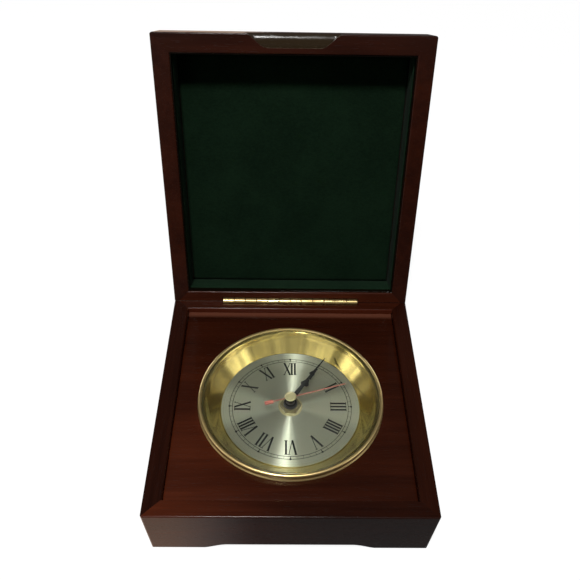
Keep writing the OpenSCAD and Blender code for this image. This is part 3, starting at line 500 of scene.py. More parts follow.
# %% Plastic, rubber, paint and ink
MOULDED = {  # name: colour, rubbed colour, grain, gloss, bump, depth in mm, other values, nodes
    "case_black": ((0.012, 0.012, 0.013), (0.022, 0.022, 0.023), 2200.0, 0.42, 0.3, 0.04, {},
                   ("case_front", "case_back", "set_knob")),
    "wheel_nylon": ((0.72, 0.72, 0.66), (0.62, 0.62, 0.55), 1600.0, 0.38, 0.1, 0.02,
                    {"Subsurface_Weight": 0.1}, ("intermediate_wheel", "seconds_wheel",
                                                 "third_wheel", "centre_wheel", "minute_wheel")),
    "wheel_dark": ((0.035, 0.030, 0.028), (0.060, 0.050, 0.045), 1600.0, 0.30, 0.1, 0.02, {},
                   ("hour_wheel",)),
    "rubber_black": ((0.010, 0.010, 0.010), (0.018, 0.017, 0.016), 1300.0, 0.7, 0.3, 0.05, {},
                     ("rubber_washer",)),
    "cell_wrap": ((0.10, 0.11, 0.12), (0.13, 0.14, 0.15), 700.0, 0.25, 0.05, 0.02,
                  {"Metallic": 0.4}, ("battery",)),
    "board_green": ((0.015, 0.09, 0.03), (0.02, 0.14, 0.05), 400.0, 0.3, 0.2, 0.05, {},
                    ("circuit_board",)),
    "hand_black": ((0.006, 0.006, 0.006), (0.010, 0.010, 0.009), 1500.0, 0.48, 0.03, 0.01,
                   {"Specular_IOR_Level": 0.12}, ("hour_hand", "minute_hand")),
    "hand_red": ((0.22, 0.068, 0.048), (0.26, 0.090, 0.066), 1500.0, 0.34, 0.03, 0.01, {},
                 ("second_hand",)),
    "print_black": ((0.004, 0.005, 0.004), (0.009, 0.011, 0.009), 4000.0, 0.6, 0.1, 0.01,
                    {"Specular_IOR_Level": 0.1}, ()),
}
moulded = {}
for name, (colour, rubbed_to, grain, gloss, bump, depth, others, nodes) in MOULDED.items():
    values = {"Colour": colour, "Rubbed": rubbed_to, "Grain": grain, "Gloss": gloss}
    moulded[name] = finish(name, mould_group, values, bump=bump, depth=depth * MM, **others)
    for node in nodes:
        wear(node, moulded[name])

# %% [markdown]
# ### The dial's silver
#
# The dial is aluminium with a silvered, circular-brushed face. The fine rings are too small to
# render one by one, so the shader is also anisotropic: it stretches highlights across the rings.
# Its direction comes from a radial tangent round the piece's middle.

# %% Silvered dial
dial_silver = finish("dial_silver", brush_and_sheen_group,
                     {"Shade": (0.35, 0.365, 0.28), "Lit": (0.39, 0.405, 0.31)},
                     bump=0.02, depth=0.01 * MM, centre=tuple(dial_at), Metallic=0.78, Anisotropic=1.0,
                     Anisotropic_Rotation=0.25)
w, dial_shader, colour = opened(dial_silver)
w.put(dial_shader, "Tangent", w.add("Tangent", {"direction_type": "RADIAL", "axis": "Z"}).outputs[0])
wear("dial_plate", dial_silver)

# %% [markdown]
# ### Glass
#
# Glass bends light and mirrors a little of it. A renderer lets light through real glass only with
# many samples, so the shadow rays see plain transparency: the dial is then lit as it would be.

# %% Clear glass
clear_glass = bpy.data.materials.new("clear_glass")
w = blank(clear_glass)
pane = w.add("BsdfPrincipled", Base_Color=(0.97, 0.98, 0.97, 1), IOR=1.46, Transmission_Weight=1.0)
smear = w.noise(w.here(), 140.0, 3.0, 0.6)
w.put(pane, "Roughness", w.between(smear, 0.55, 0.8, 0.0, 0.05))
through = w.add("BsdfTransparent", Color=(0.96, 0.97, 0.96, 1))
is_shadow = w.add("LightPath").outputs["Is Shadow Ray"]
either = w.add("MixShader", n0=is_shadow, n1=pane.outputs[0], n2=through.outputs[0])
w.add("OutputMaterial", Surface=either.outputs[0])

# %% [markdown]
# ### Felt
#
# Felt scatters light from its fibre tips, which the shader's sheen gives better than a bright
# colour would. The felt on the walls gets a lighter colour than the pad's, as painted light where the
# key lamp falls on them.

# %% Green felt
def felt(name, shade, lit):
    return finish(name, felt_group, {"Shade": shade, "Lit": lit}, bump=0.6, depth=0.15 * MM,
                  Roughness=0.95, Specular_IOR_Level=0.04, Sheen_Weight=0.01, Sheen_Roughness=0.5)


felt_green = felt("felt_green", (0.0026, 0.0084, 0.0038), (0.0058, 0.0168, 0.0076))
felt_wall_painted_light = felt("felt_wall_painted_light", (0.0048, 0.0140, 0.0068), (0.0100, 0.0270, 0.0130))

# %% [markdown]
# ## The recessed panel
#
# The panel is one board with a round hole for the clock, its upper edges just broken. It could be
# drawn as an outline and extruded. A box that gets its hole by Boolean and its edges by Bevel is
# quicker, and both stay exact.

# %% Helpers for edges and modifiers
def soften(piece, width, segments=3, limit=None):
    """Breaks the edges that are sharper than a limit in degrees, which is 30 if none is given."""
    bevel = piece.modifiers.new("soft_edge", "BEVEL")
    bevel.width, bevel.segments = width, segments
    if limit is not None:
        bevel.angle_limit = math.radians(limit)
    return bevel


def apply_all(piece):
    """Applies a piece's modifiers in their order."""
    pick(piece)
    for modifier in list(piece.modifiers):
        bpy.ops.object.modifier_apply(modifier=modifier.name)


def smooth(piece, degrees=30):
    """Shades a piece smooth, but keeps the edges that are sharper than this."""
    pick(piece)
    bpy.ops.object.shade_smooth_by_angle(angle=math.radians(degrees))


# %% The panel round the clock
panel_low, panel_high = (Vector(corner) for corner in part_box("dial_panel"))
ring_low, ring_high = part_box("bezel_ring")
RIM_OVERLAP = 1.4 * MM
HOLE_R = (ring_high[0] - ring_low[0]) / 2 - RIM_OVERLAP
pick()
bpy.ops.mesh.primitive_cube_add(size=1, location=(panel_low + panel_high) / 2)
panel = scaled(panel_high - panel_low)
bpy.ops.mesh.primitive_cylinder_add(vertices=160, radius=HOLE_R, depth=20 * MM,
                                    location=(dial_at.x, dial_at.y, panel_high.z))
cutter = bpy.context.object
panel.modifiers.new("hole", "BOOLEAN").object = cutter
soften(panel, 0.5 * MM)
apply_all(panel)
bpy.data.objects.remove(cutter)
settle(panel, "panel_board")
smooth(panel)
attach(panel, "base")
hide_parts("dial_panel")

# %% [markdown]
# ### Painted light on the stain
#
# Towards the near left corner the wood is made lighter and redder: its colour is multiplied by a
# soft ramp along that diagonal, as painted light. Along the panel's back edge, and on the rail's inner
# face above it, a paler colour is blended in as a painted highlight. Masks in the material do this
# without painting a picture.

# %% Painted light on the panel and on the base's front and back rails
RAMP_MIDDLE, RAMP_SLANT = -0.036, 0.8


def lit_to_near_left(material, start, end, least, most):
    """Multiplies a wood's colour by a ramp that rises towards the near left corner: painted light."""
    w, shader, stain = opened(material)
    spot = w.split(w.here())
    ahead = w.product(w.math("ADD", spot["Y"], -RAMP_MIDDLE), -RAMP_SLANT)
    # The ramp is painted light: a factor on the colour that rises towards the near left.
    thin = w.between(w.math("SUBTRACT", ahead, spot["X"]), start, end, least, most)
    w.put(shader, "Base Color", w.vector("MULTIPLY", stain, w.even(thin)))
    return material


def painted_highlight_band(material, start, end, colour):
    """Blends a paler colour into the stain from one depth to another: a painted highlight."""
    w, shader, stain = opened(material)
    w.put(shader, "Base Color", w.blend(w.between(w.split(w.here())["Y"], start, end), stain, colour))
    return material


back_edge = panel_high.y
wear("base_rail_front", lit_to_near_left(mahogany("mahogany_base_front"), 0.04, 0.13, 0.50, 1.9))
wear(panel, painted_highlight_band(lit_to_near_left(mahogany("mahogany_panel"), 0.01, 0.13, 0.72, 2.0),
                   back_edge - 5.5 * MM, back_edge - 2.0 * MM, (0.110, 0.036, 0.020)))
wear("base_rail_back", painted_highlight_band(mahogany("mahogany_base_back"),
                              back_edge + 0.5 * MM, back_edge + 0.1 * MM, (0.085, 0.016, 0.006)))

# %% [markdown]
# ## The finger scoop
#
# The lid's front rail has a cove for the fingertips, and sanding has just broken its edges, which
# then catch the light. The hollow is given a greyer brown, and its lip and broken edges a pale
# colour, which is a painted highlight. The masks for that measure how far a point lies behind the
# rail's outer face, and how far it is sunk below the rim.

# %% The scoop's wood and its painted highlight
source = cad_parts["lid_rail_front"]
outer_way, rim_way = (lid_place.to_3x3() @ Vector(way) for way in ((0, -1, 0), (0, 0, -1)))
outer, rim = (max(v.co @ way for v in source.data.vertices) for way in (outer_way, rim_way))
SCOOP_HALF, SCOOP_MOUTH = 27 * MM, 8.0 * MM


def scoop_wood(name, colour, lip_highlight=None):
    """The front rail's wood with a colour in the scoop. With a lip highlight, that colour fills only the
    hollow, and a pale painted highlight runs along the lip.
    """
    material = mahogany(name, 0.72)
    w, shader, stain = opened(material)
    place = w.here()
    depth = w.math("SUBTRACT", outer, w.vector("DOT_PRODUCT", place, outer_way, "Value"))
    sunk = w.math("SUBTRACT", rim, w.vector("DOT_PRODUCT", place, rim_way, "Value"))
    beside = w.between(w.math("ABSOLUTE", w.split(place)["X"]), SCOOP_HALF, SCOOP_HALF - 2 * MM)
    mask = w.product(w.between(depth, SCOOP_MOUTH, SCOOP_MOUTH - 0.6 * MM), beside)
    if lip_highlight:
        mask = w.product(mask, w.between(sunk, 0.2 * MM, 0.6 * MM),
                         w.between(depth, 0.05 * MM, 0.3 * MM))
    stain = w.blend(mask, stain, colour)
    if lip_highlight:
        lip = w.product(w.between(sunk, 0.03 * MM, 0.10 * MM), w.between(sunk, 0.75 * MM, 0.45 * MM),
                        beside, w.between(depth, SCOOP_MOUTH, SCOOP_MOUTH - 0.4 * MM),
                        w.between(depth, 0.4 * MM, 1.0 * MM))
        stain = w.blend(lip, stain, lip_highlight)
    w.put(shader, "Base Color", stain)
    return material


front_wood = scoop_wood("mahogany_lid_front", (0.024, 0.0150, 0.0070), (0.30, 0.24, 0.17))
scoop_edge_highlight = scoop_wood("mahogany_scoop_highlight", (0.50, 0.43, 0.32))

# %% [markdown]
# ### The lid's front rail
#
# The rail could be modelled anew, but its shape is right in the CAD model. So a copy of it is taken,
# its loose triangles are merged and joined into whole faces, and Bevel breaks the edges and gives
# them a second material, pale in the scoop as a painted highlight. Weighted Normal then keeps the
# large faces flat in the light.

# %% The lid's front rail
def own_copy(mesh, name):
    """A new object with its own copy of a mesh."""
    copy = bpy.data.objects.new(name, mesh.copy())
    bpy.context.scene.collection.objects.link(copy)
    return copy


scooped_rail = own_copy(source.data, "scooped_rail")
outward(scooped_rail)
edit(scooped_rail)
bpy.ops.mesh.dissolve_limited(angle_limit=math.radians(1))
leave_edit()
scooped_rail.data.materials.clear()
for material in (front_wood, scoop_edge_highlight):
    scooped_rail.data.materials.append(material)
soften(scooped_rail, 0.35 * MM, limit=24).material = 1
apply_all(scooped_rail)
settle(scooped_rail, "scooped_rail")
smooth(scooped_rail)
scooped_rail.modifiers.new("flat_faces", "WEIGHTED_NORMAL").weight = 100
apply_all(scooped_rail)
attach(scooped_rail, "lid")
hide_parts("lid_rail_front")

# %% [markdown]
# ## Turning
#
# The hinge's knuckles, the pan, the bezel, the glass and the cap are all round, as turned or spun
# parts are. Spin or a Screw modifier could make them. The helper starts from a circle, and extrudes
# and scales that ring from one point of a profile to the next. So each point's radius and height
# are given as they are measured.

# %% Helper for turned pieces
def turned(name, profile, place, steps=160, closed=True):
    """Turns (radius, height) pairs round the Z axis. A closed profile ends where it starts."""
    pick()
    r0, z0 = profile[0]
    bpy.ops.mesh.primitive_circle_add(vertices=steps, radius=r0, location=(0, 0, z0))
    piece = scaled((1, 1, 1))
    edit(piece)
    for (r_a, z_a), (r_b, z_b) in zip(profile, profile[1:] + (profile[:1] if closed else [])):
        extrude(z_b - z_a)
        bpy.ops.transform.resize(value=(r_b / r_a, r_b / r_a, 1), center_override=(0, 0, z_b))
    outward(piece)
    settle(piece, name, Matrix.Translation(place))
    smooth(piece)
    return piece


# %% [markdown]
# ## The hinge
#
# A barrel hinge is rolled from strip: its knuckles take turns between the two leaves, and each has
# slightly rounded ends, which draw the dark lines across the barrel. A texture could fake the lines,
# but the highlight breaks at them too, so the ends are real. One knuckle is turned and copied. The
# leaves stand in saw kerfs in the wood, so only the barrel is seen.

# %% One knuckle and one bar
BARREL_R, PIN_BORE, KNUCKLES = 2.3 * MM, 1.06 * MM, 12
KNUCKLE_L = (pin_high[0] - pin_low[0]) / KNUCKLES
HALF_L, END = KNUCKLE_L / 2 - 0.06 * MM, 0.30 * MM
right_end = [(BARREL_R, HALF_L - 1.1 * END), (BARREL_R, HALF_L - END),
             (BARREL_R - 0.3 * END, HALF_L - 0.3 * END), (BARREL_R - END, HALF_L), (PIN_BORE, HALF_L)]
left_end = [(r, -z) for r, z in reversed(right_end)]
knuckle = turned("knuckle", left_end + right_end, Vector(), steps=40)
LEAF_T, LEAF_REACH, WEB = 0.9 * MM, 9.0 * MM, 2.6 * MM


def leaf_bar(x, wide, z0, z1):
    """A plain bar of the leaf's thickness with broken edges, between two heights."""
    pick()
    bpy.ops.mesh.primitive_cube_add(size=1, location=(x, 0, (z0 + z1) / 2))
    bar = scaled((wide, LEAF_T, abs(z1 - z0)))
    soften(bar, 0.1 * MM, segments=2)
    apply_all(bar)
    return bar


# %% [markdown]
# ### Both halves
#
# Each half has every second knuckle and one leaf. The halves ride on the two bodies that the hinge
# joins, so they part correctly when the lid moves.

# %% Both halves of the hinge
def joined(parts):
    """Makes one piece of several, with their places written into its mesh."""
    pick(*parts)
    write_place()
    bpy.ops.object.join()
    return bpy.context.object


def hinge_half(name, first, down, place):
    """Every second knuckle with its web, and the leaf they hang on. Down is -1 or 1."""
    parts = [leaf_bar(0, KNUCKLE_L * KNUCKLES, down * WEB, down * LEAF_REACH)]
    for i in range(first, KNUCKLES, 2):
        x = KNUCKLE_L * (i + 0.5 - KNUCKLES / 2)
        copy = own_copy(knuckle.data, "knuckle_copy")
        copy.matrix_world = Matrix.Translation((x, 0, 0)) @ Matrix.Rotation(math.radians(90), 4, "Y")
        parts += [copy, leaf_bar(x, 2 * HALF_L, down * BARREL_R * 0.9, down * (WEB + 0.3 * MM))]
    return settle(joined(parts), name, place)


for name, first, down, place, body in (
        ("hinge_half_base", 0, -1, Matrix.Translation(pin_at), "base"),
        ("hinge_half_lid", 1, 1, lid_place, "lid")):
    half = hinge_half(name, first, down, place)
    smooth(half)
    wear(half, metals["brass_hinge"])
    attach(half, body)
    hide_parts("hinge_leaf_" + body)
bpy.data.objects.remove(knuckle)

# %% [markdown]
# ## The felt pad in the lid
#
# A card wrapped in padded felt is pressed into the lid. Its face is nearly flat with a slight
# crown, and it rolls down at its edges, where it meets the felt on the walls. Cloth simulation could
# find this shape, but it is simple enough for a rule: the pad is modelled shut, as a grid whose
# points are moved by their distance from the edge, and then opened with the lid.

# %% The lid's padded floor
LID_WIDE, LID_DEEP, RAIL, LID_FLOOR = 150 * MM, 154 * MM, 9.5 * MM, 19.5 * MM
WALL_FELT, SOFT_GAP = 0.8 * MM, 0.3 * MM
PAD_T, PAD_ROLL, PAD_SWELL, ROLL_DROP = 2.5 * MM, 1.0 * MM, 0.35 * MM, 0.9 * MM
tray_w, tray_d = LID_WIDE - 2 * RAIL, LID_DEEP - 2 * RAIL
pad_w, pad_d = (size - 2 * (WALL_FELT + SOFT_GAP) for size in (tray_w, tray_d))
tray_at = Vector((0, 3 * MM - LID_DEEP / 2, LID_FLOOR))

pick()
bpy.ops.mesh.primitive_grid_add(x_subdivisions=110, y_subdivisions=114, size=1)
felt_pad = scaled((pad_w, pad_d, 1))
edit(felt_pad)
extrude(-PAD_T)
outward(felt_pad)
for v in felt_pad.data.vertices:
    if v.co.z < -PAD_T / 2:
        edge = min(pad_w / 2 - abs(v.co.x), pad_d / 2 - abs(v.co.y))
        flatness = min(edge / PAD_ROLL, 1)
        roll = 1 - math.sqrt(max(0, 1 - (1 - flatness) ** 2))
        crown = math.cos(math.pi * v.co.x / pad_w) * math.cos(math.pi * v.co.y / pad_d)
        v.co.z = -PAD_T + PAD_SWELL + roll * ROLL_DROP - PAD_SWELL * crown
settle(felt_pad, "felt_pad", lid_place @ Matrix.Translation(tray_at))
bpy.ops.object.shade_smooth()
wear(felt_pad, felt_green)
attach(felt_pad, "lid")
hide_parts("lid_floor_felt")
print("felt pad", round(pad_w, 4), "x", round(pad_d, 4))

# %% [markdown]
# ## The felt on the lid's walls
#
# A strip of the same felt lines the four walls and stops short of the opening. It starts as a ring
# of four edges and is extruded to the strip's height. Solidify gives it its thickness, so its
# corners stay mitred, and Bevel gives it a soft edge.

# %% The lid's wall felt
def wall_strip(name, top, height, thickness, edge, cuts=0):
    """A strip round the tray's walls, from a height in the shut lid downwards."""
    pick()
    bpy.ops.mesh.primitive_plane_add(size=1)
    strip = scaled((tray_w, tray_d, 1))
    edit(strip)
    bpy.ops.mesh.delete(type="ONLY_FACE")
    bpy.ops.mesh.select_all(action="SELECT")
    if cuts:
        bpy.ops.mesh.subdivide(number_cuts=cuts)
    extrude(-height)
    outward(strip)
    thick = strip.modifiers.new("thickness", "SOLIDIFY")
    thick.thickness, thick.offset, thick.use_even_offset = thickness, -1, True
    soften(strip, edge, limit=50)
    apply_all(strip)
    settle(strip, name, lid_place @ Matrix.Translation((tray_at.x, tray_at.y, top)))
    smooth(strip, 40)
    return strip


wall_h = LID_FLOOR - 5.2 * MM
felt_walls = wall_strip("felt_walls", LID_FLOOR, wall_h, WALL_FELT, 0.3 * MM, cuts=30)
# The wall felt wears the lighter felt: painted light.
wear(felt_walls, felt_wall_painted_light)
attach(felt_walls, "lid")
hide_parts("lid_wall_felt")

# %% [markdown]
# ## The slips above the felt
#
# A thin, nearly black slip covers the rest of the walls up to the opening: painted shade for the
# walls' upper band, which lies in shadow. The slips are made as the felt strip is, and lie a little
# behind its face.

# %% The dark slips
SLIP_GAP, SLIP_BACK, SLIP_T = 0.1 * MM, 0.85 * MM, 0.6 * MM
slip_top = LID_FLOOR - wall_h - SLIP_GAP
painted_shade_slips = wall_strip("painted_shade_slips", slip_top, slip_top - SLIP_BACK, SLIP_T, 0.2 * MM)
wear(painted_shade_slips, finish("slip_painted_shade", grain_group,
                        {"Dark": (0.0034, 0.0021, 0.0009), "Light": (0.0066, 0.0042, 0.0018)},
                        Specular_IOR_Level=0.08))
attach(painted_shade_slips, "lid")
print("slips", round((slip_top - SLIP_BACK) / MM, 2), "mm high")

# %% [markdown]
# ## The felt under the base
#
# The bottom board is covered with felt, cut out round the opening through which the cell is
# changed. A plane gets the opening by Inset, whose inner corners are then moved to a square round
# the clock's middle, and Bevel rounds its edges.

# %% The base's felt
low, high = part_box("base_felt")
sheet_w, sheet_d, sheet_y = high[0] - low[0], high[1] - low[1], (low[1] + high[1]) / 2
OPENING = 64 * MM
pick()
bpy.ops.mesh.primitive_plane_add(size=1, location=((low[0] + high[0]) / 2, sheet_y, high[2]))
base_sheet = scaled((sheet_w, sheet_d, 1))
edit(base_sheet)
bpy.ops.mesh.inset(thickness=(sheet_w - OPENING) / 2, depth=0)
leave_edit()
for v in base_sheet.data.vertices:
    if abs(v.co.x) < OPENING / 2 + MM:
        v.co.y = dial_at.y + math.copysign(OPENING / 2, v.co.y - sheet_y)
bpy.ops.object.mode_set(mode="EDIT")
bpy.ops.mesh.delete(type="FACE")
leave_edit()
thick = base_sheet.modifiers.new("thickness", "SOLIDIFY")
thick.thickness, thick.offset = high[2] - low[2], -1
soften(base_sheet, 0.4 * MM)
apply_all(base_sheet)
settle(base_sheet, "base_sheet")
smooth(base_sheet, 40)
wear(base_sheet, felt_green)
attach(base_sheet, "base")
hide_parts("base_felt")
print("base felt", round(sheet_w, 4), "x", round(sheet_d, 4))

# %% [markdown]
# ## The brass pan
#
# The pan is spun from sheet: a flat floor for the dial, a sloping wall that mirrors the dial, and a
# small ledge for the glass. The wall's foot has a tight radius, as spun brass has. It is turned from
# its profile, whose outer side follows the inner one at the sheet's thickness.

# %% The dial pan
low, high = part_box("dial_pan")
GLASS_R, SEAT_Z = (high[0] - low[0]) / 2, high[2] - dial_at.z
PAN_T, DIAL_T, SEAT_W, LIP, BUSH_R = 0.8 * MM, 0.6 * MM, 0.9 * MM, 1.0 * MM, 4.1 * MM
PAN_FLOOR_R = DIAL_R + 0.1 * MM
wall_foot = Vector((PAN_FLOOR_R, -DIAL_T))
wall_top = Vector((GLASS_R - SEAT_W, SEAT_Z))


def on_wall(share, out=0.0, down=0.0):
    """A point on the wall between its foot and its top, or some mm outside and below it."""
    spot = wall_foot.lerp(wall_top, share)
    return spot.x + out * MM, spot.y - down * MM


pan_profile = [(BUSH_R, -DIAL_T), (PAN_FLOOR_R - 0.8 * MM, -DIAL_T),
               (PAN_FLOOR_R - 0.3 * MM, -DIAL_T + 0.04 * MM)]
pan_profile += [on_wall(share) for share in (0.02, 0.06, 0.35, 0.65, 0.80)]
pan_profile += [on_wall(1, -1.25, 1.10), on_wall(1, -0.55, 0.30), on_wall(1), (GLASS_R, SEAT_Z),
                (GLASS_R, SEAT_Z - LIP), on_wall(0.6, 0.75, 0.7), on_wall(0.1, 0.75, 0.7),
                (PAN_FLOOR_R + PAN_T - 0.5 * MM, -DIAL_T - PAN_T), (BUSH_R, -DIAL_T - PAN_T)]
brass_pan = turned("brass_pan", pan_profile, dial_at)
wear(brass_pan, metals["brass_polished"])
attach(brass_pan, "base")
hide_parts("dial_pan")

# %% [markdown]
# ## The bezel
#
# The bezel stands a little proud of the panel: a fine bead on the wood, a short straight side and a
# rounded top, with a step inside that holds the glass. Its skirt goes down through the panel's hole.
# It is turned too. The rounding is given by angles, so that its highlight is smooth.

# %% The bezel's rim and skirt
RIM_OUT, RIM_TOP = (ring_high[0] - ring_low[0]) / 2, ring_high[2] - dial_at.z
SKIRT_FOOT = ring_low[2] - dial_at.z
RIM_IN, RIM_FOOT, SKIRT_T = GLASS_R + 0.1 * MM, SKIRT_FOOT + 9 * MM, 0.7 * MM
BEAD, ROUND = 0.5 * MM, 1.1 * MM
SIDE = RIM_OUT - BEAD
bezel_profile = [(RIM_OUT, RIM_FOOT), (RIM_OUT, RIM_FOOT + BEAD), (SIDE, RIM_FOOT + 1.15 * MM),
                 (SIDE, RIM_TOP - 1.3 * MM)]
for degrees in (10, 26, 42, 58, 74, 90):
    angle = math.radians(degrees)
    bezel_profile.append((SIDE - ROUND + ROUND * math.cos(angle),
                          RIM_TOP - ROUND + ROUND * math.sin(angle)))
bezel_profile += [(RIM_IN + 0.35 * MM, RIM_TOP - 0.1 * MM), (RIM_IN, RIM_TOP - 0.5 * MM),
                  (RIM_IN, RIM_TOP - 1.2 * MM), (RIM_IN, SKIRT_FOOT), (RIM_IN + SKIRT_T, SKIRT_FOOT),
                  (RIM_IN + SKIRT_T, RIM_FOOT)]
bezel = turned("bezel", bezel_profile, dial_at)
wear(bezel, metals["brass_rim"])
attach(bezel, "base")
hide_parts("bezel_ring")
print("bezel", round(2 * RIM_OUT / MM, 1), "mm across")

# %% [markdown]
# ## The glass dome
#
# The glass is a shallow cap of a sphere. A cut sphere would have no thickness, so the profile
# follows its outer face from the middle to the rim and its inner face back again. Both middles are
# closed, so the dome is one sealed shell, and light bends in it as it should.

# %% The domed glass
GLASS_T, GLASS_RISE, NIP, MIDDLE = 1.4 * MM, 4.8 * MM, 0.2 * MM, 0.01 * MM
dome_r = (GLASS_R ** 2 + GLASS_RISE ** 2) / (2 * GLASS_RISE)
dome_mid = SEAT_Z + GLASS_RISE - dome_r
edge_r = GLASS_R - 0.1 * MM


def dome_point(r, sphere_r, drop=0.0):
    """A point of the dome's profile on one of its two spheres."""
    return r, dome_mid + math.sqrt(sphere_r ** 2 - r ** 2) - drop


outer_r = dome_r + GLASS_T
glass_profile = [(MIDDLE, dome_point(0, outer_r)[1])]
glass_profile += [dome_point(edge_r * i / 20, outer_r) for i in range(1, 20)]
glass_profile += [dome_point(edge_r - NIP, outer_r), dome_point(edge_r, outer_r, NIP)]
glass_profile += [dome_point(edge_r * i / 20, dome_r) for i in range(20, 0, -1)]
glass_profile += [(MIDDLE, dome_point(0, dome_r)[1])]
glass_dome = turned("glass_dome", glass_profile, dial_at, steps=128, closed=False)
outward(glass_dome, merge=2 * MIDDLE)
wear(glass_dome, clear_glass)
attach(glass_dome, "base")
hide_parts("glass")

# %% [markdown]
# ## The printed dial
#
# Printing is a very thin layer of ink. A picture of the dial would blur close to, so it is real
# geometry here, two hundredths of a millimetre thick. Each letter of the Roman numerals is made
# once from flat strokes: thick down-strokes, thin up-strokes and small serifs.

# %% Letters for the numerals
INK_T, LETTER_H = 0.02 * MM, 9.4 * MM
THICK, THIN, SERIF_T = 1.15 * MM, 0.40 * MM, 0.32 * MM


def stroke(x0, y0, x1, y1, width):
    """One straight stroke of ink between two points, in the open edit mesh."""
    bpy.ops.mesh.select_all(action="DESELECT")
    bpy.ops.mesh.primitive_plane_add(size=1)
    bpy.ops.transform.resize(value=(math.hypot(x1 - x0, y1 - y0), width, 1), center_override=(0, 0, 0))
    bpy.ops.transform.rotate(value=-math.atan2(y1 - y0, x1 - x0), orient_axis="Z",
                             center_override=(0, 0, 0))
    bpy.ops.transform.translate(value=((x0 + x1) / 2, (y0 + y1) / 2, 0))


def serif(x0, x1, at_head):
    """A serif at a letter's head or foot, between two places in mm."""
    y = LETTER_H - SERIF_T / 2 if at_head else SERIF_T / 2
    return x0 * MM, y, x1 * MM, y, SERIF_T


def inked(name, strokes):
    """A flat shape of ink from its strokes. A letter's foot is at y = 0 and its middle at x = 0."""
    pick()
    bpy.ops.mesh.primitive_plane_add(size=1)
    piece = bpy.context.object
    piece.name = name
    edit(piece)
    bpy.ops.mesh.delete(type="VERT")
    for s in strokes:
        stroke(*s)
    leave_edit()
    return piece


LETTERS = {  # letter: its shape and its width in the line
    "I": (inked("letter_i", [(0, 0, 0, LETTER_H, THICK), serif(-0.95, 0.95, False),
                             serif(-0.95, 0.95, True)]), 2.25 * MM),
    "V": (inked("letter_v", [(-2.0 * MM, LETTER_H, 0.15 * MM, 0, THICK),
                             (2.0 * MM, LETTER_H, 0.15 * MM, 0, THIN),
                             serif(-2.8, -1.1, True), serif(1.2, 2.7, True)]), 5.0 * MM),
    "X": (inked("letter_x", [(-1.75 * MM, LETTER_H, 1.75 * MM, 0, THICK),
                             (1.75 * MM, LETTER_H, -1.75 * MM, 0, THIN),
                             serif(-2.5, -1.0, True), serif(1.0, 2.4, True),
                             serif(-2.4, -1.0, False), serif(1.0, 2.5, False)]), 4.4 * MM),
}
print("letters:", *LETTERS)

# %% [markdown]
# ### Setting the numerals
#
# The numerals are copies of the letters, set with their tops outwards. The four is written IIII, as
# on most dials, and the numerals with four letters and the XII are set closer, so that they don't
# touch their neighbours.

# %% Numerals round the dial
NUMERAL_FOOT, CLOSE_SET = 23.3 * MM, 0.84
NUMERALS = ["XII", "I", "II", "III", "IIII", "V", "VI", "VII", "VIII", "IX", "X", "XI"]


def round_dial(mesh, degrees, x=0.0, y=0.0):
    """Ink at a place on the upright dial, turned clockwise about its middle."""
    copy = own_copy(mesh, "ink")
    copy.matrix_world = Matrix.Rotation(-math.radians(degrees), 4, "Z") @ Matrix.Translation((x, y, 0))
    return copy


printed = []
for hour, numeral in enumerate(NUMERALS):
    tight = CLOSE_SET if len(numeral) == 4 or numeral == "XII" else 1
    x = -sum(LETTERS[c][1] for c in numeral) * tight / 2
    for c in numeral:
        shape, advance = LETTERS[c][0], LETTERS[c][1] * tight
        printed.append(round_dial(shape.data, 30 * hour, x + advance / 2, NUMERAL_FOOT))
        x += advance
for shape, advance in LETTERS.values():
    bpy.data.objects.remove(shape)
print("letters printed:", len(printed))

# %% [markdown]
# ### The minute track
#
# Two thin rings carry sixty small ticks between them, and at each hour a longer tick and a dot sit
# on the outer ring. A ring starts as a circle of edges that is extruded and scaled to its width. The
# ticks and the dot are made once and copied round.

# %% The minute track
TRACK_OUT, TRACK_IN, LINE = 35.6 * MM, 33.8 * MM, 0.30 * MM


def ring_line(radius, width):
    """A thin printed ring of a middle radius and a width."""
    pick()
    bpy.ops.mesh.primitive_circle_add(vertices=180, radius=radius - width / 2)
    ring = bpy.context.object
    edit(ring)
    extrude(0)
    grow = (radius + width / 2) / (radius - width / 2)
    bpy.ops.transform.resize(value=(grow, grow, 1), center_override=(0, 0, 0))
    leave_edit()
    return ring


printed += [ring_line(TRACK_OUT, LINE), ring_line(TRACK_IN, LINE)]
hour_tick = inked("hour_tick", [(0, TRACK_IN - 0.1 * MM, 0, TRACK_OUT + 0.5 * MM, 0.42 * MM)])
minute_tick = inked("minute_tick", [(0, TRACK_IN, 0, TRACK_OUT, 0.16 * MM)])
pick()
bpy.ops.mesh.primitive_circle_add(vertices=12, radius=0.62 * MM, fill_type="NGON")
dot = bpy.context.object
for minute in range(60):
    printed.append(round_dial((minute_tick if minute % 5 else hour_tick).data, 6 * minute))
for hour in range(12):
    printed.append(round_dial(dot.data, 30 * hour, y=TRACK_OUT - 0.1 * MM))
for pattern in (hour_tick, minute_tick, dot):
    bpy.data.objects.remove(pattern)
print("shapes of ink:", len(printed))

# %% [markdown]
# ### One layer of ink
#
# All the shapes are joined, and Solidify gives the ink its thickness. It stands on the dial's face,
# and not in it, so the two never flicker through each other.

# %% The print as one piece
dial_print = joined(printed)
outward(dial_print, merge=0)
ink = dial_print.modifiers.new("ink", "SOLIDIFY")
ink.thickness, ink.offset = INK_T, 0
apply_all(dial_print)
settle(dial_print, "dial_print", Matrix.Translation(dial_at + Vector((0, 0, INK_T))))
wear(dial_print, moulded["print_black"])
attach(dial_print, "base")

# %% [markdown]
# ## The cap on the hands
#
# A small turned brass button sits on top of the hands. Its flat top has a bright chamfer and its
# side tapers towards the second hand. A bevelled cylinder would lack the shallow dish in its top,
# so it is turned from its profile, in mm from its rim and from its top or foot.

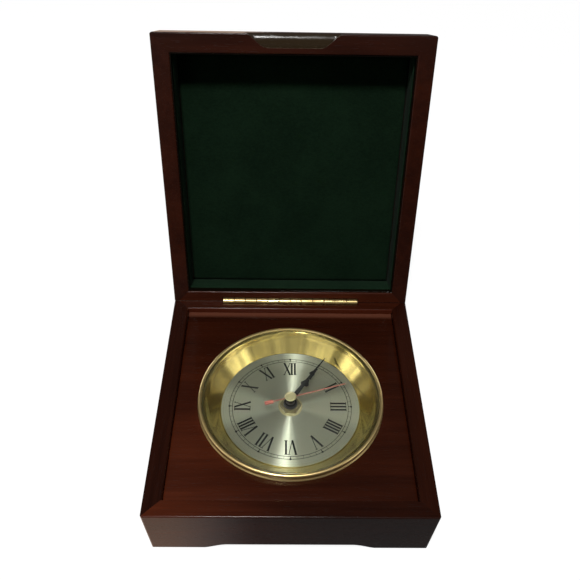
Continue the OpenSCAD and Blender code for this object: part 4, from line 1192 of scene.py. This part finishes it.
# %% The brass cap
low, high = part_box("hand_cap")
cap_r, cap_foot, cap_top = (high[0] - low[0]) / 2, low[2] - dial_at.z, high[2] - dial_at.z
cap_profile = [(cap_r - back * MM, cap_foot + up * MM) for back, up in ((0.6, 0), (0.15, 0.12), (0, 0.3))]
cap_profile += [(cap_r - back * MM, cap_top - down * MM)
                for back, down in ((0, 0.4), (0.1, 0.2), (0.5, 0), (0.9, 0), (1.1, 0.12))]
cap_profile = [(MIDDLE, cap_foot)] + cap_profile + [(MIDDLE, cap_top - 0.1 * MM)]
cap = turned("cap", cap_profile, dial_at, steps=64, closed=False)
outward(cap, merge=2 * MIDDLE)
wear(cap, metals["brass_satin"])
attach(cap, "second_train")
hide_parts("hand_cap")

# %% [markdown]
# ## The floor
#
# The photograph's background is plain white. A floor that is lit to white would need lamps too
# strong for the dark wood, so the floor glows a little for the camera, and less for mirrors and
# glass, and keeps the clock's shadow. Mirrors also see a warm patch on it at the near left, which
# the front rail's varnish shows.

# %% The floor
FLOOR_GLOW, FLOOR_MIRRORED, WARM_GLOW = 0.93, 0.04, 0.74


def seen_in_mirrors(w, path):
    return w.math("MAXIMUM", path.outputs["Is Glossy Ray"], path.outputs["Is Transmission Ray"])


pick()
bpy.ops.mesh.primitive_plane_add(size=6, location=(0, 0, 0))
floor = bpy.context.object
floor.name = "floor"
floor_paint = bpy.data.materials.new("floor_paint")
w = blank(floor_paint)
path = w.add("LightPath")
mirrored = seen_in_mirrors(w, path)
shine = w.weigh((path.outputs["Is Camera Ray"], FLOOR_GLOW), (mirrored, FLOOR_MIRRORED))
spot = w.split(w.here())
warm = w.product(w.between(spot["X"], -0.015, -0.075), w.between(spot["Y"], -0.30, -0.16), mirrored)
glow = w.add("Emission", Color=w.blend(warm, (1, 1, 1), (1, 0.70, 0.52)),
             Strength=w.math("ADD", shine, w.product(warm, WARM_GLOW)))
matt = w.add("BsdfDiffuse", Color=(0.14, 0.14, 0.14, 1))
w.add("OutputMaterial", Surface=w.add("AddShader", n0=matt.outputs[0], n1=glow.outputs[0]).outputs[0])
floor.data.materials.append(floor_paint)

# %% [markdown]
# ## The surroundings
#
# Polished brass is only as good as what it mirrors. The pan's wall shows a room in front with
# upright stripes, and windows at both sides, which give the bright glints at its upper left and
# right. A photograph of a room could be used, but a few soft shapes in the world's shader do, and
# only mirrors and glass see them. The camera sees white.

# %% The surroundings
room = bpy.data.worlds.new("room")
bpy.context.scene.world = room
w = blank(room)
path = w.add("LightPath")
way = w.add("TexCoord").outputs["Generated"]
side, depth, height = w.split(way)
WINDOWS = (((-0.91, -0.14, 0.375), 7, 9, 3.3), ((0.87, -0.26, 0.40), 7, 13, 2.5),
           ((-0.95, 0.20, 0.22), 6, 12, 0.5), ((0.95, 0.20, 0.20), 6, 12, 0.4))

ROOM_DIM, ROOM_LIGHT = 0.07, 0.05


def window(direction, reach, edge, strength):
    """A soft-edged bright window: its reach and its edge are in degrees."""
    near = w.vector("DOT_PRODUCT", way, Vector(direction).normalized(), "Value")
    shape = w.between(near, math.cos(math.radians(reach + edge)), math.cos(math.radians(reach)))
    return w.product(shape, strength)


forward = w.product(depth, -1.0)
sideways = w.math("DIVIDE", side, w.math("MAXIMUM", forward, 0.1))
stripes = w.between(w.noise(w.line(sideways), 5.0, 2.0, 0.6), 0.36, 0.64, 0.26, 0.72)
room_front = w.product(w.between(height, 0.30, 0.42), w.between(height, 0.78, 0.62),
                       w.between(forward, 0.25, 0.60), stripes)
windows = 0.0
for row in WINDOWS:
    windows = w.math("ADD", windows, window(*row))
panes = w.between(w.noise(way, 7.0, 3.0, 0.6), 0.40, 0.60, 0.35, 1.1)
mirror_room = w.math("ADD", w.math("ADD", ROOM_DIM, room_front), w.product(windows, panes))
mirrored = seen_in_mirrors(w, path)
plain = w.product(w.math("SUBTRACT", 1.0, mirrored), ROOM_LIGHT)
strength = w.math("ADD", w.product(mirrored, mirror_room), plain)
strength = w.math("MAXIMUM", path.outputs["Is Camera Ray"], strength)
w.add("OutputWorld", Surface=w.add("Background", Color=(1, 1, 1, 1), Strength=strength).outputs[0])

# %% [markdown]
# ## The lamps
#
# A small key light from high in front throws the shadow of the lid's upper rail on the felt, with
# the edge as sharp as in the photograph. A broad weak fill from the front opens the shadows, and two
# low ones behind draw the light lines on the lid's outer edges.

# %% The lamps
LAMPS = (("key", (-0.10, -0.34, 1.12), (0, -0.02, 0.05), 0.14, 10.0),
         ("front_fill", (-0.9, -1.2, 0.5), (0, 0, 0.05), 0.9, 1.5),
         ("back_fill_left", (-1.0, 1.2, 0.22), (0, 0, 0.08), 0.5, 5.0),
         ("back_fill_right", (1.0, 1.2, 0.22), (0, 0, 0.08), 0.5, 5.0))
for name, place, aim, size, power in LAMPS:
    data = bpy.data.lights.new(name, "AREA")
    data.size, data.energy = size, power
    light = bpy.data.objects.new(name, data)
    light.location = place
    light.rotation_euler = (Vector(aim) - Vector(place)).to_track_quat("-Z", "Y").to_euler()
    bpy.context.scene.collection.objects.link(light)
print("lamps:", len(bpy.data.lights))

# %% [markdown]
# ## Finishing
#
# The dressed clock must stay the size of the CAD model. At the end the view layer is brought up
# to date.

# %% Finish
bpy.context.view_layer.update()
